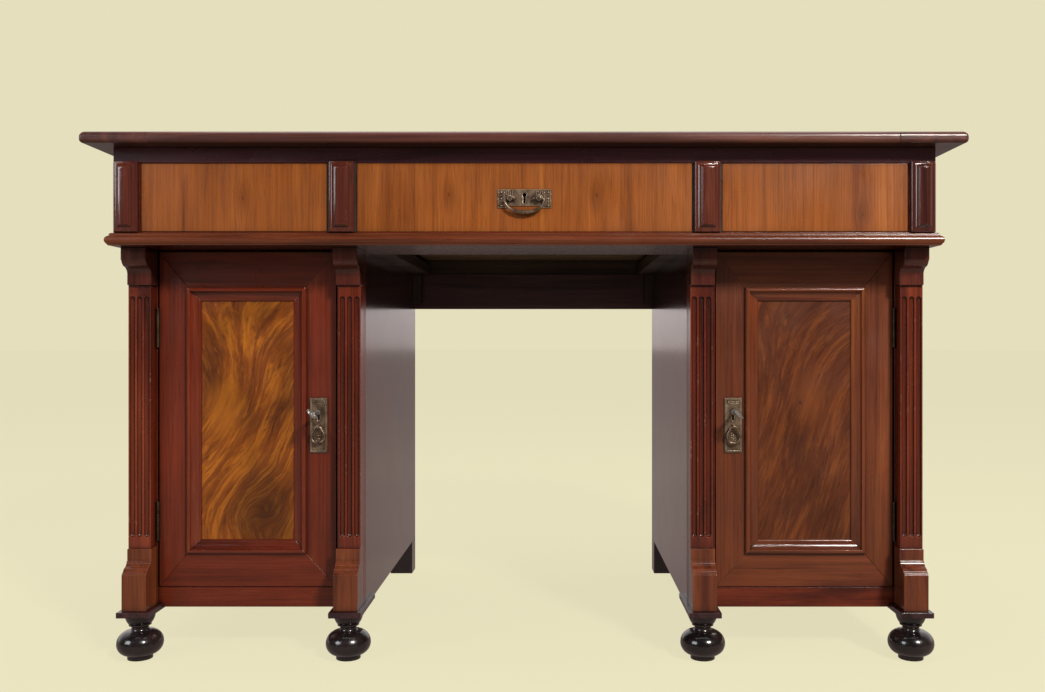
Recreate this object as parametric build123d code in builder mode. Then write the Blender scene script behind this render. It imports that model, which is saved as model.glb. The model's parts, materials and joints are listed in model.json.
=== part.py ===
from build123d import *
from math import asin, degrees
import os

os.makedirs("parts", exist_ok=True)

# A kneehole writing desk in millimetres. The front faces -Y, up is +Z, and the
# origin is on the floor under the middle of the desk top.

# Overall sizes
desk_width = 1286
desk_depth = 690
desk_height = 788

# Desk top
top_thickness = 17
top_side_overhang = 35
top_front_overhang = 36
top_rear_overhang = 10
top_clamp_width = 99.5
top_upper_round = 8
top_lower_round = 5
top_corner_round = 4

# Frieze, which holds the three drawers
frieze_height = 145.5
frieze_board = 20
frieze_back_board = 16
frieze_top_rail_height = 23
frieze_top_rail_depth = 60
frieze_bottom_rail_height = 20
frieze_bottom_rail_depth = 150
end_post_width = 40
middle_post_width = 43
partition_board = 18
middle_post_inset = 4

# Raised tablets on the frieze posts, their edges from the rim inwards and upwards
end_tablet_margin = 2
middle_tablet_margin = 2.5
tablet_upper_lap = 2
tablet_lower_lap = 0.5
tablet_rim_height = 3.5
tablet_bead_width = 2.5
tablet_bead_height = 2.5
tablet_shelf_width = 1.5
tablet_hollow_width = 5
tablet_hollow_height = 5
tablet_lip_width = 1
tablet_riser_width = 0.5
tablet_riser_height = 2
tablet_crown_width = 3
tablet_crown_height = 1

# Waist moulding under the drawers
waist_height = 18.5
waist_reach = 10
waist_fillet_reach = 3
waist_ovolo_reach = 5
waist_ovolo_height = 3
waist_quirk_height = 1.5
waist_shoulder_reach = 6.5
waist_lower_edge = 1.5

# Kneehole and pedestals
kneehole_width = 505
pedestal_board = 20
pedestal_back_board = 12
cupboard_board = 16
pedestal_front_setback = 110
side_panel_drop = 10.5
plinth_rail_drop = 5.5
plinth_rail_height = 31
plinth_rail_setback = 2

# Pilasters
shaft_width = 34
shaft_depth = 22
flute_count = 3
flute_pitch = 11
flute_radius = 4.3
flute_end_margin = 17
capital_side_margin = 3
capital_height = 55.5
capital_reach = 50
capital_fascia_reach = 27
capital_block_height = 19.5
capital_block_lip = 2
capital_fascia_height = 18
capital_cyma_radius = 13.65
plinth_bottom = 76.5
plinth_height = 90.5
plinth_block_height = 55.5
plinth_reach = 47
plinth_fillet_reach = 1.5
plinth_fillet_height = 2.5
plinth_ogee_reach = 4
plinth_ogee_radius = 10.8
base_block_height = 18
base_fillet_reach = 2.5
base_fillet_height = 2

# Feet
foot_plate_overhang = 6
foot_plate_depth = 120
foot_plate_thickness = 8.5
bun_radius = 34
neck_radius = 12.4
neck_flare = 2
neck_ring_reach = 4
neck_ring_height = 2
cup_radius = 22
cup_rim_height = 3
cup_curve_radius = 25
foot_base_radius = 18.5
bun_bottom = 7
bun_middle = 24
bun_top = 43
cup_bottom = 51
foot_centre_from_plinth_front = 24
rear_foot_size = 45

# Rear apron across the kneehole
apron_height = 72.5
apron_thickness = 18
glue_block_size = 18
glue_block_length = 60

# Cupboard shelf
shelf_above_cupboard_floor = 248
shelf_front_setback = 30
shelf_side_clearance = 0.5
shelf_pin_radius = 3
shelf_pin_length = 20
shelf_pin_inset = 60

# Doors
door_thickness = 20
door_bottom_gap = 1
door_top_gap = 2.5
door_lock_gap = 1.7
door_stop_clearance = 0.4
visible_lock_stile = 6.8
door_stile_width = 45
door_hinge_stile_width = 43
door_top_rail_width = 55
door_bottom_rail_width = 51.5
moulding_width = 21.5
moulding_rise = 6.5
moulding_lap = 8
moulding_edge_rise = 2
moulding_bead_width = 4
moulding_bead_radius = 4.5
moulding_step = 1.5
moulding_hollow_radius = 13
moulding_sight_width = 4
moulding_sight_rise = 3
moulding_sight_edge = 1
moulding_sight_radius = 3.5
panel_recess = 5
panel_thickness = 8

# Door hinges
hinge_barrel_radius = 2.4
hinge_pin_radius = 1.2
hinge_pin_clearance = 0.05
hinge_leaf_thickness = 1
hinge_leaf_gap = 0.6
hinge_leaf_length = 60
hinge_leaf_width = 16
hinge_leaf_relief = 0.5
hinge_knuckle_gap = 0.4
hinge_axis_reach = 2.5
hinge_axis_from_shaft = 3
hinge_above_door_bottom = 102
hinge_below_door_top = 118

# Door locks, keys and ring pulls
keyhole_below_door_top = 249
lock_length = 44
lock_height = 60
lock_thickness = 12
lock_wall = 1.5
keyhole_radius = 3
keyhole_slot_width = 3
keyhole_slot_length = 12.5
keyhole_cut_overrun = 1
bolt_thickness = 6
bolt_height = 14
bolt_length = 30
bolt_level_above_key = 16
bolt_clearance = 0.5
bolt_mortise_depth = 10
escutcheon_offset = 4
escutcheon_width = 26
escutcheon_height = 84
escutcheon_thickness = 1.5
escutcheon_border = 2.5
escutcheon_border_rise = 1
escutcheon_top_above_key = 22
ring_below_key = 22
ring_eye_radius = 3.4
ring_eye_width = 2.4
ring_wire_radius = 1.8
ring_hole_clearance = 0.45
ring_top_radius = 5
ring_bottom_radius = 10.2
ring_drop = 15.5
ring_axis_reach = 5.5
key_shank_radius = 2.4
key_shank_length = 52
key_collar_radius = 3.6
key_collar_length = 2
key_collar_distance = 5.3
key_bow_width = 20
key_bow_length = 16
key_bow_thickness = 3
key_bow_bar = 3.2
key_bit_length = 8
key_bit_width = 5
key_bit_thickness = 1.8
key_rest_angle = 45

# Drawers
drawer_gap = 0.8
drawer_front_recess = 1
drawer_front_thickness = 20
drawer_side_thickness = 10
drawer_side_height = 90
drawer_back_thickness = 10
drawer_lap = 12
drawer_bottom_thickness = 5
drawer_bottom_level = 8
drawer_groove_depth = 5
drawer_rear_gap = 25
runner_width = 30
guide_height = 30
kicker_thickness = 12

# Brass plate, bail and lock of the centre drawer
plate_width = 79
plate_height = 24
plate_thickness = 1.5
plate_ear_width = 14.5
plate_ear_drop = 3
plate_middle_above_bail = 2
bail_level_above_bottom_rail = 49
bail_post_spacing = 43
bail_post_radius = 3.6
bail_post_length = 8
bail_axis_reach = 5.2
bail_wire_radius = 1.9
bail_hole_clearance = 0.4
bail_width = 58
bail_drop = 22
bail_end_length = 6
drawer_keyhole_above_bail = 6
drawer_lock_width = 46
drawer_lock_height = 62
drawer_lock_thickness = 12
drawer_bolt_width = 10
drawer_bolt_thickness = 6
drawer_bolt_length = 24
drawer_bolt_mortise_depth = 9

# Planes and levels that several pieces share
top_front = -desk_depth / 2
top_rear = desk_depth / 2
top_underside = desk_height - top_thickness
clamp_joint = desk_width / 2 - top_clamp_width
carcass_half = desk_width / 2 - top_side_overhang
carcass_rear = top_rear - top_rear_overhang
frieze_front = top_front + top_front_overhang
frieze_bottom = top_underside - frieze_height
frieze_back_front = carcass_rear - frieze_back_board
frieze_rear_of_posts = frieze_front + frieze_board
runner_front = frieze_front + frieze_bottom_rail_depth
drawer_floor = frieze_bottom + frieze_bottom_rail_height
drawer_ceiling = top_underside - frieze_top_rail_height
kneehole_half = kneehole_width / 2
inner_end = carcass_half - frieze_board
centre_opening_half = kneehole_half - middle_post_inset
side_opening_start = centre_opening_half + middle_post_width
side_opening_end = carcass_half - end_post_width
partition_centre = centre_opening_half + middle_post_width / 2

side_panel_bottom = plinth_bottom - side_panel_drop
plinth_rail_bottom = plinth_bottom - plinth_rail_drop
plinth_rail_top = plinth_rail_bottom + plinth_rail_height
shaft_bottom = plinth_bottom + plinth_height
shaft_top = frieze_bottom - capital_height
capital_width = shaft_width + capital_side_margin
door_front = top_front + pedestal_front_setback
stile_back = door_front + door_thickness
pedestal_back_front = carcass_rear - pedestal_back_board
outer_board_inside = carcass_half - pedestal_board
inner_board_inside = kneehole_half + pedestal_board
plinth_rail_front = door_front + plinth_rail_setback
plinth_front = door_front - plinth_reach
foot_plate_front = plinth_front - foot_plate_overhang
foot_plate_rear = foot_plate_front + foot_plate_depth
foot_plate_bottom = plinth_bottom - foot_plate_thickness
cupboard_ceiling = frieze_bottom - cupboard_board
shelf_level = plinth_rail_top + shelf_above_cupboard_floor

# Door openings: hinges on the outer side, locks beside the kneehole
hinge_axis_x = carcass_half - shaft_width - hinge_axis_from_shaft
hinge_axis_y = door_front - hinge_axis_reach
leaf_offset = hinge_leaf_gap / 2 + hinge_leaf_thickness
door_hinge_edge = hinge_axis_x - leaf_offset
hinge_stile_edge = hinge_axis_x + leaf_offset
lock_stile_edge = kneehole_half + shaft_width + visible_lock_stile
door_lock_edge = lock_stile_edge + door_lock_gap
door_bottom = plinth_rail_top + door_bottom_gap
door_top = frieze_bottom - door_top_gap
frame_inside_lock = door_lock_edge + door_stile_width + moulding_lap
frame_inside_hinge = door_hinge_edge - door_hinge_stile_width - moulding_lap
frame_inside_bottom = door_bottom + door_bottom_rail_width + moulding_lap
frame_inside_top = door_top - door_top_rail_width - moulding_lap
panel_front = door_front + panel_recess
hinge_levels = (door_bottom + hinge_above_door_bottom, door_top - hinge_below_door_top)

# Lock furniture on the doors
lock_front = stile_back - lock_thickness
escutcheon_x = door_lock_edge + door_stile_width / 2 + escutcheon_offset
keyhole_level = door_top - keyhole_below_door_top
escutcheon_front = door_front - escutcheon_thickness
escutcheon_top = keyhole_level + escutcheon_top_above_key
escutcheon_bottom = escutcheon_top - escutcheon_height
ring_level = keyhole_level - ring_below_key
ring_axis_y = escutcheon_front - ring_axis_reach
bolt_level = keyhole_level + bolt_level_above_key
bolt_y = lock_front + lock_thickness / 2

# Lock and handle of the centre drawer
drawer_face = frieze_front + drawer_front_recess
drawer_front_rear = drawer_face + drawer_front_thickness
drawer_rear = frieze_back_front - drawer_rear_gap
plate_front = drawer_face - plate_thickness
bail_level = drawer_floor + bail_level_above_bottom_rail
bail_axis_y = plate_front - bail_axis_reach
drawer_keyhole_level = bail_level + drawer_keyhole_above_bail
drawer_top = drawer_ceiling - drawer_gap
drawer_lock_front = drawer_front_rear - drawer_lock_thickness
drawer_bolt_y = drawer_lock_front + drawer_lock_thickness / 2
drawer_bolt_slot_x = (
    -drawer_bolt_width / 2 - bolt_clearance,
    drawer_bolt_width / 2 + bolt_clearance,
)
drawer_bolt_slot_y = (
    drawer_bolt_y - drawer_bolt_thickness / 2 - bolt_clearance,
    drawer_bolt_y + drawer_bolt_thickness / 2 + bolt_clearance,
)

hands = (("left", -1), ("right", 1))


def add_block(x, y, z, mode=Mode.ADD):
    """Add a block spanning the given X, Y and Z ranges to the part in hand."""
    with Locations([((x[0] + x[1]) / 2, (y[0] + y[1]) / 2, (z[0] + z[1]) / 2)]):
        Box(abs(x[1] - x[0]), abs(y[1] - y[0]), abs(z[1] - z[0]), mode=mode)


def save(part, name):
    """Label a finished piece and write it as its own STEP file."""
    part.label = name
    export_step(part, f"parts/{name}.step")


def both(hand, start, end):
    """The X range of a piece of the right half, or its mirror on the left half."""
    return (hand * start, hand * end)


# ---------------------------------------------------------------- Desk top

with BuildPart() as top_blank:
    add_block(
        (-desk_width / 2, desk_width / 2), (top_front, top_rear), (top_underside, desk_height)
    )
    fillet(top_blank.edges().filter_by(Axis.Z), top_corner_round)
    fillet(top_blank.faces().sort_by(Axis.Z)[-1].edges(), top_upper_round)
    fillet(top_blank.faces().sort_by(Axis.Z)[0].edges(), top_lower_round)

with BuildPart() as top_panel:
    add(top_blank.part)
    split(bisect_by=Plane.YZ.offset(clamp_joint), keep=Keep.BOTTOM)
    split(bisect_by=Plane.YZ.offset(-clamp_joint), keep=Keep.TOP)
save(top_panel.part, "top_panel")

with BuildPart() as top_end_clamps:
    add(top_blank.part)
    split(bisect_by=Plane.YZ.offset(clamp_joint), keep=Keep.TOP)
    mirror(about=Plane.YZ)
save(top_end_clamps.part, "top_end_clamps")

# ---------------------------------------------------------------- Frieze

with BuildPart() as frieze_top_rail:
    add_block(
        (-carcass_half, carcass_half),
        (frieze_front, frieze_rear_of_posts),
        (drawer_ceiling, top_underside),
    )
    add_block(
        (-inner_end, inner_end),
        (frieze_rear_of_posts, frieze_front + frieze_top_rail_depth),
        (drawer_ceiling, top_underside),
    )
    add_block(
        drawer_bolt_slot_x,
        drawer_bolt_slot_y,
        (drawer_ceiling, drawer_ceiling + drawer_bolt_mortise_depth),
        mode=Mode.SUBTRACT,
    )
save(frieze_top_rail.part, "frieze_top_rail")

with BuildPart() as frieze_bottom_rail:
    add_block(
        (-carcass_half, carcass_half),
        (frieze_front, frieze_rear_of_posts),
        (frieze_bottom, drawer_floor),
    )
    add_block(
        (-inner_end, inner_end),
        (frieze_rear_of_posts, runner_front),
        (frieze_bottom, drawer_floor),
    )
save(frieze_bottom_rail.part, "frieze_bottom_rail")

with BuildPart() as frieze_ends:
    for _, hand in hands:
        add_block(
            both(hand, side_opening_end, carcass_half),
            (frieze_front, frieze_rear_of_posts),
            (drawer_floor, drawer_ceiling),
        )
        add_block(
            both(hand, inner_end, carcass_half),
            (frieze_rear_of_posts, carcass_rear),
            (frieze_bottom, top_underside),
        )
save(frieze_ends.part, "frieze_ends")

with BuildPart() as frieze_partitions:
    for _, hand in hands:
        add_block(
            both(hand, centre_opening_half, side_opening_start),
            (frieze_front, frieze_rear_of_posts),
            (drawer_floor, drawer_ceiling),
        )
        partition_x = both(
            hand, partition_centre - partition_board / 2, partition_centre + partition_board / 2
        )
        add_block(
            partition_x,
            (frieze_rear_of_posts, frieze_front + frieze_top_rail_depth),
            (drawer_floor, drawer_ceiling),
        )
        add_block(
            partition_x,
            (frieze_front + frieze_top_rail_depth, runner_front),
            (drawer_floor, top_underside),
        )
        add_block(
            partition_x, (runner_front, frieze_back_front), (frieze_bottom, top_underside)
        )
save(frieze_partitions.part, "frieze_partitions")

with BuildPart() as frieze_back:
    add_block(
        (-inner_end, inner_end),
        (frieze_back_front, carcass_rear),
        (frieze_bottom, top_underside),
    )
save(frieze_back.part, "frieze_back")

# Each runner is an L: its foot carries a drawer side and its upright guides it.
# Each one stands against a partition or an end of the frieze.
partition_half = partition_board / 2
runner_walls = (
    (partition_centre - partition_half, -1, centre_opening_half),
    (partition_centre + partition_half, 1, side_opening_start),
    (inner_end, -1, side_opening_end),
)

with BuildPart() as drawer_runners:
    for _, hand in hands:
        for wall, inward, opening_edge in runner_walls:
            add_block(
                both(hand, wall, opening_edge + inward * runner_width),
                (runner_front, frieze_back_front),
                (frieze_bottom, drawer_floor),
            )
            add_block(
                both(hand, wall, opening_edge),
                (frieze_rear_of_posts + drawer_gap, frieze_back_front),
                (drawer_floor, drawer_floor + guide_height),
            )
save(drawer_runners.part, "drawer_runners")

# The kickers keep an open drawer from tipping.
with BuildPart() as drawer_kickers:
    for _, hand in hands:
        for wall, inward, opening_edge in runner_walls:
            add_block(
                both(hand, wall, opening_edge + inward * runner_width),
                (frieze_front + frieze_top_rail_depth, frieze_back_front),
                (drawer_ceiling, drawer_ceiling + kicker_thickness),
            )
save(drawer_kickers.part, "drawer_kickers")


tablet_shelf_level = tablet_rim_height + tablet_bead_height
tablet_lip_level = tablet_shelf_level + tablet_hollow_height
tablet_height = tablet_lip_level + tablet_riser_height + tablet_crown_height


def tablet_outline(width):
    """The stepped and hollowed outline of a tablet, seen along one of its edges."""
    rim = width / 2
    bead_end = rim - tablet_bead_width
    hollow_start = bead_end - tablet_shelf_width
    hollow_end = hollow_start - tablet_hollow_width
    riser_start = hollow_end - tablet_lip_width
    riser_end = riser_start - tablet_riser_width
    with BuildSketch() as outline:
        with BuildLine():
            edge = Line((rim, 0), (rim, tablet_rim_height))
            bead = RadiusArc(edge @ 1, (bead_end, tablet_shelf_level), -1.2 * tablet_bead_width)
            shelf = Line(bead @ 1, (hollow_start, tablet_shelf_level))
            hollow = RadiusArc(
                shelf @ 1, (hollow_end, tablet_lip_level), 1.4 * tablet_hollow_width
            )
            Polyline(
                hollow @ 1,
                (riser_start, tablet_lip_level),
                (riser_end, tablet_height - tablet_crown_height),
                (riser_end - tablet_crown_width, tablet_height),
                (0, tablet_height),
                (0, 0),
                (rim, 0),
            )
        make_face()
        mirror(about=Plane.YZ)
    return outline.sketch


tablet_bottom = drawer_floor - tablet_lower_lap
tablet_top = drawer_ceiling + tablet_upper_lap
tablet_length = tablet_top - tablet_bottom
end_post_centre = (side_opening_end + carcass_half) / 2
tablet_places = (
    (end_post_centre, end_post_width - 2 * end_tablet_margin),
    (partition_centre, middle_post_width - 2 * middle_tablet_margin),
)


def raised_tablet(width, length):
    """A tablet lying against Y=0, mitred because two moulded bars cross in it."""
    with BuildPart() as tablet:
        with BuildSketch(Plane(origin=(0, 0, -length / 2), x_dir=(1, 0, 0), z_dir=(0, 0, -1))):
            add(tablet_outline(width))
        extrude(amount=-length)
        with BuildSketch(Plane(origin=(-width / 2, 0, 0), x_dir=(0, 0, 1), z_dir=(1, 0, 0))):
            add(tablet_outline(length))
        extrude(amount=width, mode=Mode.INTERSECT)
    return tablet.part


with BuildPart() as frieze_tablets:
    for _, hand in hands:
        for tablet_x, tablet_width in tablet_places:
            with Locations((hand * tablet_x, frieze_front, (tablet_bottom + tablet_top) / 2)):
                add(raised_tablet(tablet_width, tablet_length))
save(frieze_tablets.part, "frieze_tablets")

# ---------------------------------------------------------------- Waist moulding


def waist_section():
    """The section of the waist moulding: X is how far it stands out, Y is up."""
    ovolo_bottom = waist_height - waist_ovolo_height
    shoulder_level = ovolo_bottom - waist_quirk_height
    with BuildSketch() as section:
        with BuildLine():
            fillet_top = Line((0, waist_height), (waist_fillet_reach, waist_height))
            ovolo = RadiusArc(
                fillet_top @ 1, (waist_ovolo_reach, ovolo_bottom), waist_ovolo_height
            )
            shoulder = Polyline(
                ovolo @ 1,
                (waist_ovolo_reach, shoulder_level),
                (waist_shoulder_reach, shoulder_level),
            )
            nosing = ThreePointArc(
                shoulder @ 1,
                (waist_reach, (shoulder_level + waist_lower_edge) / 2),
                (waist_shoulder_reach, waist_lower_edge),
            )
            Polyline(nosing @ 1, (waist_shoulder_reach, 0), (0, 0), (0, waist_height))
        make_face()
    return section.sketch


def mitred_length(section, length, left_mitre=True, right_mitre=True):
    """A bar along X with its back on the plane Y=0, standing out towards -Y."""
    with BuildPart() as bar:
        with BuildSketch(Plane(origin=(length, 0, 0), x_dir=(0, -1, 0), z_dir=(-1, 0, 0))):
            add(section)
        extrude(amount=2 * length)
        for end, mitred in ((-1, left_mitre), (1, right_mitre)):
            cut = (end, 1, 0) if mitred else (end, 0, 0)
            split(
                bisect_by=Plane(origin=(end * length / 2, 0, 0), z_dir=cut), keep=Keep.BOTTOM
            )
    return bar.part


return_length = carcass_rear - frieze_front
waist = waist_section()
return_y = frieze_front + return_length / 2
waist_moulding = Part(
    [
        Pos(0, frieze_front, frieze_bottom) * mitred_length(waist, 2 * carcass_half),
        Pos(carcass_half, return_y, frieze_bottom)
        * Rot(0, 0, 90)
        * mitred_length(waist, return_length, right_mitre=False),
        Pos(-carcass_half, return_y, frieze_bottom)
        * Rot(0, 0, -90)
        * mitred_length(waist, return_length, left_mitre=False),
    ]
)
save(waist_moulding, "waist_moulding")

# ---------------------------------------------------------------- Pedestal carcasses

# The X ranges of the outer and the inner pilaster column, on the right half.
shaft_spans = (
    (carcass_half - shaft_width, carcass_half),
    (kneehole_half, kneehole_half + shaft_width),
)
capital_spans = (
    (carcass_half - capital_width, carcass_half),
    (kneehole_half, kneehole_half + capital_width),
)
foot_plate_spans = tuple(
    (start - foot_plate_overhang, end + foot_plate_overhang) for start, end in capital_spans
)
stile_spans = ((hinge_stile_edge, carcass_half), (kneehole_half, lock_stile_edge))
shelf_pin_spots = (
    door_front + door_thickness + shelf_pin_inset,
    pedestal_back_front - shelf_pin_inset,
)


def cut_foot_plates(hand):
    """Let the foot plates of one pedestal into the part in hand."""
    for start, end in foot_plate_spans:
        add_block(
            both(hand, start, end),
            (foot_plate_front, foot_plate_rear),
            (foot_plate_bottom - foot_plate_thickness, plinth_bottom),
            mode=Mode.SUBTRACT,
        )


def pedestal_sides(hand):
    """The outer and inner side boards of one pedestal, with their shelf pin holes."""
    with BuildPart() as sides:
        for start, end in (
            (outer_board_inside, carcass_half),
            (kneehole_half, inner_board_inside),
        ):
            add_block(
                both(hand, start, end),
                (stile_back, carcass_rear),
                (side_panel_bottom, frieze_bottom),
            )
        cut_foot_plates(hand)
        add_shelf_pins(hand, Mode.SUBTRACT)
    return sides.part


def add_shelf_pins(hand, mode=Mode.ADD):
    """The four pins that carry one shelf, half of each inside a side board."""
    for wall in (outer_board_inside, inner_board_inside):
        for spot in shelf_pin_spots:
            with Locations(
                Location((hand * wall, spot, shelf_level - shelf_pin_radius), (0, 90, 0))
            ):
                Cylinder(shelf_pin_radius, shelf_pin_length, mode=mode)


for side, hand in hands:
    save(pedestal_sides(hand), f"{side}_pedestal_sides")

with BuildPart() as front_stiles:
    for _, hand in hands:
        for start, end in stile_spans:
            add_block(
                both(hand, start, end), (door_front, stile_back), (plinth_rail_bottom, frieze_bottom)
            )
        cut_foot_plates(hand)
        add_block(
            both(hand, lock_stile_edge - bolt_mortise_depth, lock_stile_edge),
            (
                bolt_y - bolt_thickness / 2 - bolt_clearance,
                bolt_y + bolt_thickness / 2 + bolt_clearance,
            ),
            (
                bolt_level - bolt_height / 2 - bolt_clearance,
                bolt_level + bolt_height / 2 + bolt_clearance,
            ),
            mode=Mode.SUBTRACT,
        )
save(front_stiles.part, "front_stiles")

with BuildPart() as plinth_rails:
    for _, hand in hands:
        add_block(
            both(hand, lock_stile_edge, hinge_stile_edge),
            (plinth_rail_front, stile_back),
            (plinth_rail_bottom, plinth_rail_top),
        )
        cut_foot_plates(hand)
save(plinth_rails.part, "plinth_rails")

with BuildPart() as pedestal_backs:
    for _, hand in hands:
        add_block(
            both(hand, inner_board_inside, outer_board_inside),
            (pedestal_back_front, carcass_rear),
            (side_panel_bottom, frieze_bottom),
        )
save(pedestal_backs.part, "pedestal_backs")

with BuildPart() as cupboard_floors:
    for _, hand in hands:
        add_block(
            both(hand, inner_board_inside, outer_board_inside),
            (stile_back, pedestal_back_front),
            (plinth_rail_top - cupboard_board, plinth_rail_top),
        )
save(cupboard_floors.part, "cupboard_floors")

with BuildPart() as pedestal_tops:
    for _, hand in hands:
        add_block(
            both(hand, inner_board_inside, outer_board_inside),
            (stile_back + door_stop_clearance, pedestal_back_front),
            (cupboard_ceiling, frieze_bottom),
        )
save(pedestal_tops.part, "pedestal_tops")

with BuildPart() as cupboard_shelves:
    for _, hand in hands:
        add_block(
            both(
                hand,
                inner_board_inside + shelf_side_clearance,
                outer_board_inside - shelf_side_clearance,
            ),
            (stile_back + shelf_front_setback, pedestal_back_front - shelf_side_clearance),
            (shelf_level, shelf_level + cupboard_board),
        )
save(cupboard_shelves.part, "cupboard_shelves")

with BuildPart() as shelf_pins:
    for _, hand in hands:
        add_shelf_pins(hand)
save(shelf_pins.part, "shelf_pins")

with BuildPart() as kneehole_apron:
    add_block(
        (-kneehole_half, kneehole_half),
        (carcass_rear - apron_thickness, carcass_rear),
        (frieze_bottom - apron_height, frieze_bottom),
    )
save(kneehole_apron.part, "kneehole_apron")

with BuildPart() as apron_glue_blocks:
    for _, hand in hands:
        add_block(
            both(hand, kneehole_half - glue_block_size, kneehole_half),
            (
                carcass_rear - apron_thickness - glue_block_size,
                carcass_rear - apron_thickness,
            ),
            (frieze_bottom - glue_block_length, frieze_bottom),
        )
save(apron_glue_blocks.part, "apron_glue_blocks")

# ---------------------------------------------------------------- Pilasters

flute_length = shaft_top - shaft_bottom - 2 * flute_end_margin - 2 * flute_radius

with BuildPart() as pilaster_shafts:
    for _, hand in hands:
        for start, end in shaft_spans:
            add_block(
                both(hand, start, end),
                (door_front - shaft_depth, door_front),
                (shaft_bottom, shaft_top),
            )
            flute_centre = (
                hand * (start + end) / 2, door_front - shaft_depth, (shaft_bottom + shaft_top) / 2
            )
            with Locations(flute_centre):
                with GridLocations(flute_pitch, 1, flute_count, 1):
                    Cylinder(flute_radius, flute_length, mode=Mode.SUBTRACT)
                    with Locations((0, 0, flute_length / 2), (0, 0, -flute_length / 2)):
                        Sphere(flute_radius, mode=Mode.SUBTRACT)
save(pilaster_shafts.part, "pilaster_shafts")


def side_section(start, end, points_then_curves):
    """Extrude a closed outline, drawn looking along +X, over the given X range."""
    with BuildSketch(Plane.YZ.offset(min(start, end))) as section:
        with BuildLine():
            points_then_curves()
        make_face()
    extrude(section.sketch, amount=abs(end - start))


def capital_outline():
    """The console capital: a block, a cyma below it and a plain fascia."""
    block_bottom = frieze_bottom - capital_block_height
    fascia_top = shaft_top + capital_fascia_height
    reach_top = door_front - capital_reach
    reach_fascia = door_front - capital_fascia_reach
    middle = ((reach_top + reach_fascia) / 2, (block_bottom + fascia_top) / 2)
    block = Polyline(
        (door_front, frieze_bottom),
        (reach_top, frieze_bottom),
        (reach_top, block_bottom),
        (reach_top + capital_block_lip, block_bottom),
    )
    upper = RadiusArc(block @ 1, middle, -capital_cyma_radius)
    lower = RadiusArc(upper @ 1, (reach_fascia, fascia_top), capital_cyma_radius)
    Polyline(
        lower @ 1, (reach_fascia, shaft_top), (door_front, shaft_top), (door_front, frieze_bottom)
    )


def plinth_outline():
    """The plinth block, an ogee with two fillets above it, and the small base block."""
    block_top = plinth_bottom + plinth_block_height
    ledge = block_top + plinth_fillet_height
    ledge_front = plinth_front + plinth_fillet_reach
    base_bottom = shaft_bottom - base_block_height
    base_front = door_front - capital_fascia_reach
    ogee_start = (plinth_front + plinth_ogee_reach, ledge)
    ogee_end = (base_front - base_fillet_reach, base_bottom - base_fillet_height)
    middle = (
        (ogee_start[0] + ogee_end[0]) / 2,
        (ogee_start[1] + ogee_end[1]) / 2,
    )
    Polyline(
        (door_front, plinth_bottom),
        (plinth_front, plinth_bottom),
        (plinth_front, block_top),
        (ledge_front, block_top),
        (ledge_front, ledge),
        ogee_start,
    )
    RadiusArc(ogee_start, middle, plinth_ogee_radius)
    RadiusArc(middle, ogee_end, -plinth_ogee_radius)
    Polyline(
        ogee_end,
        (ogee_end[0], base_bottom),
        (base_front, base_bottom),
        (base_front, shaft_bottom),
        (door_front, shaft_bottom),
        (door_front, plinth_bottom),
    )


with BuildPart() as pilaster_capitals:
    for _, hand in hands:
        for start, end in capital_spans:
            side_section(hand * start, hand * end, capital_outline)
save(pilaster_capitals.part, "pilaster_capitals")

with BuildPart() as plinth_blocks:
    for _, hand in hands:
        for start, end in capital_spans:
            side_section(hand * start, hand * end, plinth_outline)
save(plinth_blocks.part, "plinth_blocks")

# ---------------------------------------------------------------- Feet

foot_centre_y = plinth_front + foot_centre_from_plinth_front
neck_edge = neck_radius + neck_flare
neck_ring_radius = neck_radius + neck_ring_reach

with BuildPart() as foot_plates:
    for _, hand in hands:
        for start, end in foot_plate_spans:
            add_block(
                both(hand, start, end),
                (foot_plate_front, foot_plate_rear),
                (foot_plate_bottom, plinth_bottom),
            )
save(foot_plates.part, "foot_plates")

with BuildPart() as turned_foot:
    with BuildSketch(Plane.XZ):
        with BuildLine():
            Polyline((0, 0), (foot_base_radius, 0), (foot_base_radius, bun_bottom))
            EllipticalCenterArc(
                (foot_base_radius, bun_middle),
                bun_radius - foot_base_radius,
                bun_middle - bun_bottom,
                start_angle=-90,
                arc_size=90,
            )
            EllipticalCenterArc(
                (neck_edge, bun_middle),
                bun_radius - neck_edge,
                bun_top - bun_middle,
                start_angle=0,
                arc_size=90,
            )
            neck = ThreePointArc(
                (neck_edge, bun_top),
                (neck_radius, (bun_top + cup_bottom) / 2),
                (neck_edge, cup_bottom),
            )
            neck_ring = Polyline(
                neck @ 1,
                (neck_ring_radius, cup_bottom),
                (neck_ring_radius, cup_bottom + neck_ring_height),
            )
            cup = RadiusArc(
                neck_ring @ 1,
                (cup_radius, foot_plate_bottom - cup_rim_height),
                -cup_curve_radius,
            )
            Polyline(
                cup @ 1, (cup_radius, foot_plate_bottom), (0, foot_plate_bottom), (0, 0)
            )
        make_face()
    revolve(axis=Axis.Z)

with BuildPart() as bun_feet:
    for _, hand in hands:
        for start, end in capital_spans:
            with Locations((hand * (start + end) / 2, foot_centre_y, 0)):
                add(turned_foot.part)
save(bun_feet.part, "bun_feet")

with BuildPart() as rear_feet:
    for _, hand in hands:
        for start, end in (
            (carcass_half - rear_foot_size, carcass_half),
            (kneehole_half, kneehole_half + rear_foot_size),
        ):
            add_block(
                both(hand, start, end),
                (carcass_rear - rear_foot_size, carcass_rear),
                (0, side_panel_bottom),
            )
save(rear_feet.part, "rear_feet")

# ---------------------------------------------------------------- Doors


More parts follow.
